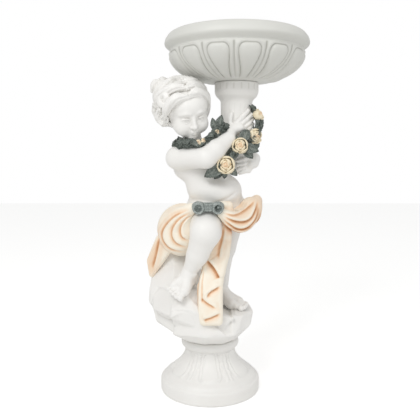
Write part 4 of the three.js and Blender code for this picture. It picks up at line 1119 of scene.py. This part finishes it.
# Each rose: its centre, what it faces, its size as a share of the largest, and its leaves by bearing,
# how far they lean back, and size.
ROSES = [
    [[42, -96, 494], [-0.1, -0.95, 0.1], 1.0, [
        [208, -0.12, 1.4], [228, 0.1, 1.0], [262, 0.3, 0.7], [318, 0.2, 0.8], [112, 0.3, 0.9],
        [158, 0.2, 0.9],
    ]],
    [[80, -74, 545], [-0.05, -0.95, 0.15], 0.9, [
        [66, 0.3, 1.2], [346, 0.1, 1.1], [318, 0.2, 1.0], [206, 0.3, 1.1], [128, 0.3, 0.8],
    ]],
    [[122, -40, 571], [0.7, -0.7, 0.1], 0.88, [
        [35, 0.3, 0.9], [62, 0.5, 0.8], [285, 0.3, 0.9], [250, 0.3, 0.9],
    ]],
    [[133, -14, 630], [0.75, -0.35, 0.5], 0.72, [[104, 0.2, 1.0], [60, 0.2, 0.9], [300, 0.4, 0.9]]],
    [[-30, -96, 553], [-0.1, -0.9, 0.3], 0.42, []],
    [[-18, -94, 558], [0.2, -0.9, 0.3], 0.36, []],
    [[20, -78, 580], [0, -0.8, 0.5], 0.42, []],
]
# Single leaves: root, direction, facing and size.
STEM_LEAVES = [
    [[26, -66, 588], [0.1, 0, 1], [-0.3, -0.9, 0], 1.0],
    [[20, -70, 586], [-0.4, -0.1, 0.85], [-0.3, -0.9, 0.1], 0.9],
    [[-36, -86, 550], [-0.9, 0.1, 0.1], [0, -0.8, 0.6], 0.9],
    [[-54, -80, 552], [-0.9, 0.3, 0], [-0.1, -0.8, 0.6], 0.9],
    [[-22, -86, 554], [0.3, -0.1, -0.8], [0, -0.9, 0.4], 0.6],
    [[-6, -82, 562], [0.8, 0.1, 0.5], [0, -0.9, 0.4], 0.9],
    [[4, -78, 570], [0.7, 0.1, 0.7], [0.1, -0.9, 0.4], 0.9],
    [[-72, -68, 554], [-0.5, 0.8, 0.1], [-0.6, -0.4, 0.6], 0.9],
    [[-86, -36, 556], [0.1, 0.9, 0.2], [-0.9, -0.1, 0.4], 0.9],
]


def facing_axes(facing):
    """The right, up and front of something that faces a direction."""
    front = unit(facing)
    right = unit(np.cross([0, 0, 1], front))
    return right, np.cross(front, right), front


def leaves_of(rose):
    """The leaves round a rose, each with its root, direction, facing and size."""
    centre, facing, _, leaves = rose
    right, up, front = facing_axes(facing)
    made = []
    for clock, back, share in leaves:
        turn = math.radians(clock)
        out = right * math.cos(turn) + up * math.sin(turn)
        made.append([vec(centre) + out * 9 - front * 3, out - front * back, front, share])
    return made


NECK_STEM = [
    [-60, 24, 560], [-90, -34, 546], [-62, -80, 543], [-18, -90, 550], [14, -76, 574], [40, -54, 596],
]
FRONT_STEM = [[132, -14, 612], [118, -38, 570], [84, -62, 540], [44, -84, 490]]


def small_leaves():
    """Small leaves pressed close together all along the stem."""
    made = []
    for path, count in ((NECK_STEM, 46), (FRONT_STEM, 30)):
        curve = along_curve(path, count + 2)
        for n in range(1, count + 1):
            ahead = unit(curve[n + 1] - curve[n - 1])
            middle = vec(COLUMN[0], COLUMN[1], 0) if path is FRONT_STEM else vec(-52, -30, 0)
            out = unit((curve[n] - middle) * [1, 1, 0])
            front = unit(out + [0, 0, 0.55] + rng.uniform(-0.4, 0.4, 3))
            side = unit(np.cross(ahead, front)) * (1 if n % 2 else -1)
            lean = rng.uniform(0.3, 1.1)
            along = unit(side * lean + ahead * rng.choice([-1.0, 1.0]) * 0.7 + front * rng.uniform(-0.2, 0.3))
            root = curve[n] + front * rng.uniform(7, 11) - along * 9
            made.append([root, along, front, rng.uniform(0.5, 0.72)])
    return made


def leaf_blade(root, along, facing, share):
    """A serrated leaf with a sunk midrib and veins, curled back at the tip."""
    length = LEAF_LENGTH * share
    x = unit(along)
    y = unit(np.cross(facing, x))
    z = np.cross(x, y)
    rows, columns = LEAF_ROWS, LEAF_COLUMNS
    top, under, rib = [], [], []
    for i in range(rows + 1):
        t = i / rows
        half = 0.30 * math.sin(math.pi * min(t, 0.999) ** 0.8) ** 0.75 * (1 + 0.05 * math.sin(t * 50))
        for j in range(columns):
            s = -1 + 2 * j / (columns - 1)
            veins = 0.03 * math.cos(26 * (t - 0.32 * abs(s)))
            lift = 0.20 * s * s * (1 - 0.6 * t) + 0.12 * math.sin(2.6 * t) - 0.26 * t**3 + veins * (1 - t)
            sink = -0.06 * math.exp(-((s / 0.16) ** 2))
            base = vec(root) + length * (x * t + y * s * half + z * (lift + sink))
            thick = 0.5 + 2.2 * (1 - s * s) * (1 - t) ** 0.5
            top.append(base)
            under.append(base - z * thick)
            rib.append(math.exp(-((s / 0.16) ** 2)) + 0.6 * max(0, math.cos(24 * (t - 0.32 * abs(s)))) ** 6)
    points = top + under
    shift = len(top)
    faces = []
    for i in range(rows):
        for j in range(columns - 1):
            a, b = i * columns + j, i * columns + j + 1
            c, d = b + columns, a + columns
            faces.append([a, d, c, b])
            faces.append([a + shift, b + shift, c + shift, d + shift])
    edge = [i * columns for i in range(rows + 1)]
    edge += [rows * columns + j for j in range(1, columns)]
    edge += [i * columns + columns - 1 for i in range(rows - 1, -1, -1)]
    edge += [j for j in range(columns - 2, 0, -1)]
    for a, b in zip(edge, edge[1:] + edge[:1]):
        faces.append([a, a + shift, b + shift, b])
    return points, faces, rib + [0.0] * shift


# Rings of petals from the outside in, as shares of the rose's radius: count, ball radius, how far
# forward and outward its centre lies, tilt from the front, opening, and first bearing.
PETAL_RINGS = [
    [5, 0.76, 0.00, 0.24, 104, 50, 0.3],
    [4, 0.54, 0.14, 0.14, 100, 52, 0.9],
    [3, 0.34, 0.30, 0.07, 94, 60, 0.2],
]


def model_rose(clay, rose):
    centre, facing, share, _ = rose
    right, up, front = facing_axes(facing)
    radius = ROSE_RADIUS * share
    seat = vec(centre) + front * 1.0
    clay.add(egg(seat - front * radius * 0.10, [radius * 0.60] * 3), 1)
    rings = PETAL_RINGS if share > 0.5 else PETAL_RINGS[1:]
    for count, size, forward, outward, tilt, opening, first in rings:
        for n in range(count):
            bearing = first + 2 * math.pi * n / count
            out = right * math.cos(bearing) + up * math.sin(bearing)
            lean = math.radians(tilt)
            towards = out * math.sin(lean) + front * math.cos(lean)
            middle = seat + front * forward * radius + out * outward * radius
            middle = middle + np.cross(front, out) * 0.06 * radius * (-1) ** n
            clay.add(cup(middle, size * radius, max(2.4, 0.17 * radius), towards, opening), 0.6)
    bud = [0.17 * radius, 0.17 * radius, 0.24 * radius]
    clay.add(egg(seat + front * radius * 0.44, bud, [right, up, front]), 0.6)


def heart_of(points):
    """How near a point lies to the heart of its rose."""
    near = np.full(len(points), 9.0)
    for centre, facing, share, _ in ROSES:
        front = unit(facing)
        away = points - vec(centre)
        off = away - np.outer(away @ front, front)
        own = np.linalg.norm(off, axis=1) / (ROSE_RADIUS * share) + 0.02 * np.abs(away @ front)
        near = np.minimum(near, own)
    return 1.0 - np.clip(near, 0.0, 1.0)


def joined_parts(name, parts, mark):
    """Many small meshes as one piece."""
    points, faces, marks = [], [], []
    for own_points, own_faces, own_marks in parts:
        shift = len(points)
        points.extend(own_points)
        faces.extend([[v + shift for v in face] for face in own_faces])
        marks.extend(own_marks)
    return finished(name, points, faces, marks={mark: marks})


def model_stem(clay):
    """The stem under the leaves: round the neck, down the column's right, and behind the column."""
    clay.add(strand(NECK_STEM, [5, 7, 7, 7, 7, 6], 24), 4)
    clay.add(strand([on_column(-20, 636, 4), *FRONT_STEM], [6, 7, 7, 7, 7, 7], 30), 4)
    back = [on_column(-20, 636, 4), on_column(20, 640, 6), on_column(80, 620, 6), on_column(140, 600, 5)]
    clay.add(strand(back, [7, 8, 8, 7], 18), 4)


def model_clasp(clay):
    """The clasp: a waisted band that ends in two rolls, each with a deep eye and a bead in it."""
    clay.add(strand([CLASP + vec(x, 0, 1) for x in (-26, -12, 12, 26)], [16, 13, 13, 16], 16), 3)
    for side in (-1, 1):
        face = unit([side * 0.18, -1, 0])
        middle = CLASP + vec(side * 23, 0, -1)
        clay.add(drum(middle, face, 15.5, 17), 3)
        clay.carve(egg(middle + face * 17, [9.5, 14, 9.5]), 1.5)
        clay.add(ball(middle + face * 8 + vec(2.5, 0, 2.5), 4.2), 0.6)
        clay.add(ball(CLASP + vec(side * 33, 0, 4), 9), 4)
        for lift in (-7, 7):
            ridge = [CLASP + vec(side * x, -14, lift + 1) for x in (0, 5, 10)]
            clay.add(strand(ridge, [1.4, 2.2, 1.0], 8), 1.5)


# Materials: all of it is paint on cast resin, so each differs in colour, sheen and wear; the white and pewter
# paints also carry painted shade in their hollows.


def linear(colour):
    """An sRGB hex colour as the linear values that a node takes."""
    values = [int(colour[i : i + 2], 16) / 255 for i in (1, 3, 5)]
    return [v / 12.92 if v <= 0.04045 else ((v + 0.055) / 1.055) ** 2.4 for v in values] + [1.0]


def add_node(tree, kind, settings=None, links=None):
    made = tree.nodes.new("ShaderNode" + kind)
    for key, value in (settings or {}).items():
        if isinstance(key, str) and hasattr(made, key):
            setattr(made, key, value)
        else:
            made.inputs[key].default_value = value
    for key, source in (links or {}).items():
        tree.links.new(source, made.inputs[key])
    return made


def new_finish(name):
    material = bpy.data.materials.new(name)
    material.use_nodes = True
    tree = material.node_tree
    tree.nodes.clear()
    return material, tree


def noise(tree, scale, detail):
    """Noise by patches per metre: 14 makes clouds of about 70 mm, and 420 a grain of about 2.4 mm."""
    place = add_node(tree, "TexCoord").outputs["Object"]
    made = add_node(tree, "TexNoise", {"Scale": scale, "Detail": detail}, {"Vector": place})
    return made.outputs["Fac"]


def mark_of(tree, name):
    """A value that the mesh remembers at each point, such as how deep it lies in a fold."""
    return add_node(tree, "Attribute", {"attribute_name": name}).outputs["Fac"]


def ranged(tree, value, low, high, least=0.0, most=1.0):
    """A value spread from least to most as it goes from low to high."""
    settings = {"From Min": low, "From Max": high, "To Min": least, "To Max": most}
    return add_node(tree, "MapRange", settings, {"Value": value}).outputs["Result"]


def blend(tree, share, *colours):
    """Two colours mixed by a share, each a hex colour or another node's output."""
    settings, links = {}, {"Fac": share}
    for key, colour in zip(("Color1", "Color2"), colours):
        if isinstance(colour, str):
            settings[key] = linear(colour)
        else:
            links[key] = colour
    return add_node(tree, "MixRGB", settings, links).outputs["Color"]


def summed(tree, first, second):
    return add_node(tree, "Math", {"operation": "ADD"}, {0: first, 1: second}).outputs["Value"]


def grained(tree, height, strength, distance):
    made = add_node(tree, "Bump", {"Strength": strength, "Distance": distance}, {"Height": height})
    return made.outputs["Normal"]


def coated(material, tree, settings, **links):
    """Ends a material as one coat of paint over what the links carry."""
    links = {key.replace("_", " "): source for key, source in links.items()}
    paint = add_node(tree, "BsdfPrincipled", settings, links)
    add_node(tree, "OutputMaterial", links={"Surface": paint.outputs["BSDF"]})
    return material


def white_paint(name, mark, low, high, light="#F4F3F0", dark="#EBE9E5", shade="#C9C6BE"):
    """Matt white masonry paint on cast resin: chalky, with painted shade that turns it grey in the hollows.
    """
    material, tree = new_finish(name)
    base = blend(tree, noise(tree, 14.0, 4.0), light, dark)
    # Painted shade: the white turns grey where the mark says a point lies deep in a hollow or groove.
    hollow_shade = ranged(tree, mark_of(tree, mark), low, high)
    grain = grained(tree, noise(tree, 420.0, 2.0), 0.12, 0.0006)
    settings = {"Roughness": 0.48, "IOR": 1.5}
    return coated(material, tree, settings, Base_Color=blend(tree, hollow_shade, base, shade), Normal=grain)


def cloth_paint():
    """Cream paint rubbed over an orange wash, which stays in the folds."""
    material, tree = new_finish("washed_cream_paint")
    cloud = noise(tree, 26.0, 5.0)
    wobble = add_node(tree, "Math", {"operation": "MULTIPLY_ADD", 1: 0.7, 2: -0.35}, {0: cloud})
    uneven = summed(tree, mark_of(tree, "hollow"), wobble.outputs["Value"])
    total = summed(tree, uneven, mark_of(tree, "wash"))
    tint = blend(tree, ranged(tree, total, -0.1, 0.6), "#F8F0E0", "#EFCBA8")
    colour = blend(tree, ranged(tree, total, 0.45, 1.25), tint, "#BE7B44")
    return coated(material, tree, {"Roughness": 0.42, "IOR": 1.5}, Base_Color=colour)


def leaf_paint():
    """Dark grey-green paint, rubbed pale along the veins and speckled."""
    material, tree = new_finish("rubbed_green_paint")
    speck = ranged(tree, noise(tree, 300.0, 4.0), 0.45, 0.75)
    base = blend(tree, speck, "#5A625D", "#989F97")
    rubbed = ranged(tree, mark_of(tree, "rib"), 0.2, 1.6, most=0.5)
    colour = blend(tree, rubbed, base, "#BFC4BA")
    return coated(material, tree, {"Roughness": 0.5, "IOR": 1.5}, Base_Color=colour)


def rose_paint():
    """Cream paint that warms to peach in the heart of the rose."""
    material, tree = new_finish("cream_rose_paint")
    warm = ranged(tree, mark_of(tree, "heart"), 0.25, 1.0)
    colour = blend(tree, warm, "#F3E6C9", "#EBBE97")
    return coated(material, tree, {"Roughness": 0.45, "IOR": 1.5}, Base_Color=colour)


def clasp_paint():
    """Pewter-coloured hammered paint with dark and bright specks, and painted shade that darkens its eyes and
    other hollows.
    """
    material, tree = new_finish("speckled_pewter_paint")
    speck = noise(tree, 520.0, 3.0)
    metal = blend(tree, ranged(tree, speck, 0.36, 0.66), "#6C7573", "#BCC3BF")
    # Painted shade: the eyes and other hollows darken towards near black.
    eye_shade = ranged(tree, mark_of(tree, "hollow"), 0.2, 1.0)
    colour = blend(tree, eye_shade, metal, "#262C2B")
    grain = grained(tree, speck, 0.25, 0.0008)
    return coated(material, tree, {"Roughness": 0.32, "Metallic": 0.35}, Base_Color=colour, Normal=grain)


# The pieces, made one after the other and set in place of the solids.


def hand_over(piece, material, node):
    """Gives a piece its material and sets it in place of its solid."""
    piece.data.materials.clear()
    piece.data.materials.append(material)
    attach(piece, "root")
    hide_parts(node)
    return piece


LIMB_MARGIN, LIMB_CELL = 30, 1.7  # for hands and feet, which have clay of their own


def limb_clay(points):
    return Clay(np.min(points, axis=0) - LIMB_MARGIN, np.max(points, axis=0) + LIMB_MARGIN, LIMB_CELL)


# Each white paint greys the hollows or grooves that its mark finds, as painted shade.
white = white_paint("chalk_white_paint", "hollow", 0.05, 0.9)
turned_white = white_paint("chalk_white_paint_turned", "lift", -0.2, -2.2)
# Painted shade: the bowl gets greyer whites and a darker hollow grey than the other pieces, so the whole bowl
# reads as shaded.
bowl_white = white_paint("shaded_white_paint", "lift", -0.2, -2.4, "#DBDBD6", "#D2D2CC", "#A9A8A0")

body = Clay([-135, -178, 90], [160, 125, 622], 3.0)
model_torso(body)
model_creases(body)
model_arms(body)
model_legs(body)
hand_over(sculpted("cherub_body", body, 8.0), white, "cherub")

head = Clay([-172, -160, 540], [40, 60, 748], 1.55)
model_face(head)
model_hair(head)
hand_over(sculpted("cherub_head", head, 5.0), white, "cherub")

for name, hand in zip(("right_hand", "left_hand"), HANDS):
    points = [hand["wrist"], *hand["palm"]] + [on_column(t, z) for f in hand["fingers"] for t, z in f]
    clay = limb_clay(points)
    model_hand(clay, hand)
    hand_over(sculpted(name, clay, 4.0), white, "cherub")

for name, foot in zip(("right_foot", "left_foot"), FEET):
    points = [ANKLE[foot["side"]], foot["heel"], *foot["treads"], *foot["toes"]]
    clay = limb_clay(points)
    model_foot(clay, foot)
    hand_over(sculpted(name, clay, 4.0), white, "cherub")

rock = Clay([-185, -170, -4], [135, 130, 275], 3.1)
model_rock(rock)
hand_over(sculpted("broken_rock", rock, 8.0, relax=0), white, "cherub")

cloth = Clay([-195, -165, 40], [165, 130, 425], 2.3)
model_drapery(cloth)
model_tail(cloth)
press_folds(cloth, PLEAT_FOLDS + SWAG_FOLDS + TAIL_FOLDS)
drapery = sculpted("carved_drapery", cloth, 7.0, marks={"wash": wash_of})
hand_over(drapery, cloth_paint(), "cherub")

hand_over(build_column(), turned_white, "cherub")
hand_over(build_bowl(), bowl_white, "bowl")
hand_over(build_foot(), turned_white, "foot")

green = leaf_paint()
blades = [leaf_blade(*leaf) for rose in ROSES for leaf in leaves_of(rose)]
blades += [leaf_blade(*leaf) for leaf in STEM_LEAVES]
blades += [leaf_blade(*leaf) for leaf in small_leaves()]
hand_over(joined_parts("garland_leaves", blades, "rib"), green, "cherub")
stem = Clay([-110, -110, 465], [150, 70, 660], 2.2)
model_stem(stem)
bare_stem = sculpted("garland_stem", stem, 4.0, marks={"rib": lambda points: 0 * points[:, 0]})
hand_over(bare_stem, green, "cherub")
roses = Clay([-55, -130, 465], [160, 20, 660], 1.2)
for rose in ROSES:
    model_rose(roses, rose)
blooms = sculpted("garland_roses", roses, 3.0, relax=0, marks={"heart": heart_of})
hand_over(blooms, rose_paint(), "cherub")
clasp = Clay(CLASP - vec(60, 40, 30), CLASP + vec(60, 40, 30), 1.2)
model_clasp(clasp)
hand_over(sculpted("scroll_clasp", clasp, 3.0, relax=0), clasp_paint(), "cherub")


# A pale floor, soft light and the camera.

FLOOR_HALF = 6.0
corners = [(x * FLOOR_HALF, y * FLOOR_HALF, 0) for x, y in ((-1, -1), (1, -1), (1, 1), (-1, 1))]
floor_mesh = bpy.data.meshes.new("floor")
floor_mesh.from_pydata(corners, [], [[0, 1, 2, 3]])
floor = bpy.data.objects.new("floor", floor_mesh)
bpy.context.scene.collection.objects.link(floor)
floor_finish, floor_tree = new_finish("pale_backdrop")
# The floor is lit a little more where the camera sees it, so that it stays near white.
seen = add_node(floor_tree, "LightPath").outputs["Is Camera Ray"]
coated(
    floor_finish, floor_tree,
    {"Base Color": linear("#FBFBFA"), "Roughness": 0.9, "Emission Color": linear("#FFFFFF")},
    Emission_Strength=ranged(floor_tree, seen, 0.0, 1.0, most=0.3),
)
floor_mesh.materials.append(floor_finish)

world = bpy.data.worlds.new("studio")
bpy.context.scene.world = world
world.use_nodes = True
sky = world.node_tree.nodes["Background"]
sky.inputs["Color"].default_value = linear("#FFFFFF")
seen = add_node(world.node_tree, "LightPath").outputs["Is Camera Ray"]
glow = ranged(world.node_tree, seen, 0.0, 1.0, least=0.66)
world.node_tree.links.new(glow, sky.inputs["Strength"])
bpy.context.scene.view_settings.view_transform = "Standard"


def soft_light(name, place, size, watts, target=(0.0, 0.0, 0.5)):
    """A square lamp that faces the statue."""
    lamp = bpy.data.lights.new(name, "AREA")
    lamp.size = size
    lamp.energy = watts
    holder = bpy.data.objects.new(name, lamp)
    bpy.context.scene.collection.objects.link(holder)
    holder.location = place
    look = Vector(target) - Vector(place)
    holder.rotation_euler = look.to_track_quat("-Z", "Y").to_euler()


soft_light("key", (-1.0, -2.0, 2.3), 1.0, 24)
soft_light("fill", (1.4, -1.6, 2.3), 1.0, 8)

SENSOR = 36.0
FOCAL_PIXELS, PICTURE_PIXELS = 547.0, 420.0  # the lens as pixels of the square picture
CAMERA_PLACE = (0.0, -1.54, 0.6728)
CAMERA_DIP = 5.8  # degrees below level
camera = bpy.data.cameras.new("camera")
camera.sensor_width = SENSOR
camera.lens = SENSOR * FOCAL_PIXELS / PICTURE_PIXELS
holder = bpy.data.objects.new("camera", camera)
bpy.context.scene.collection.objects.link(holder)
holder.location = CAMERA_PLACE
holder.rotation_euler = (math.radians(90 - CAMERA_DIP), 0.0, 0.0)
bpy.context.scene.camera = holder
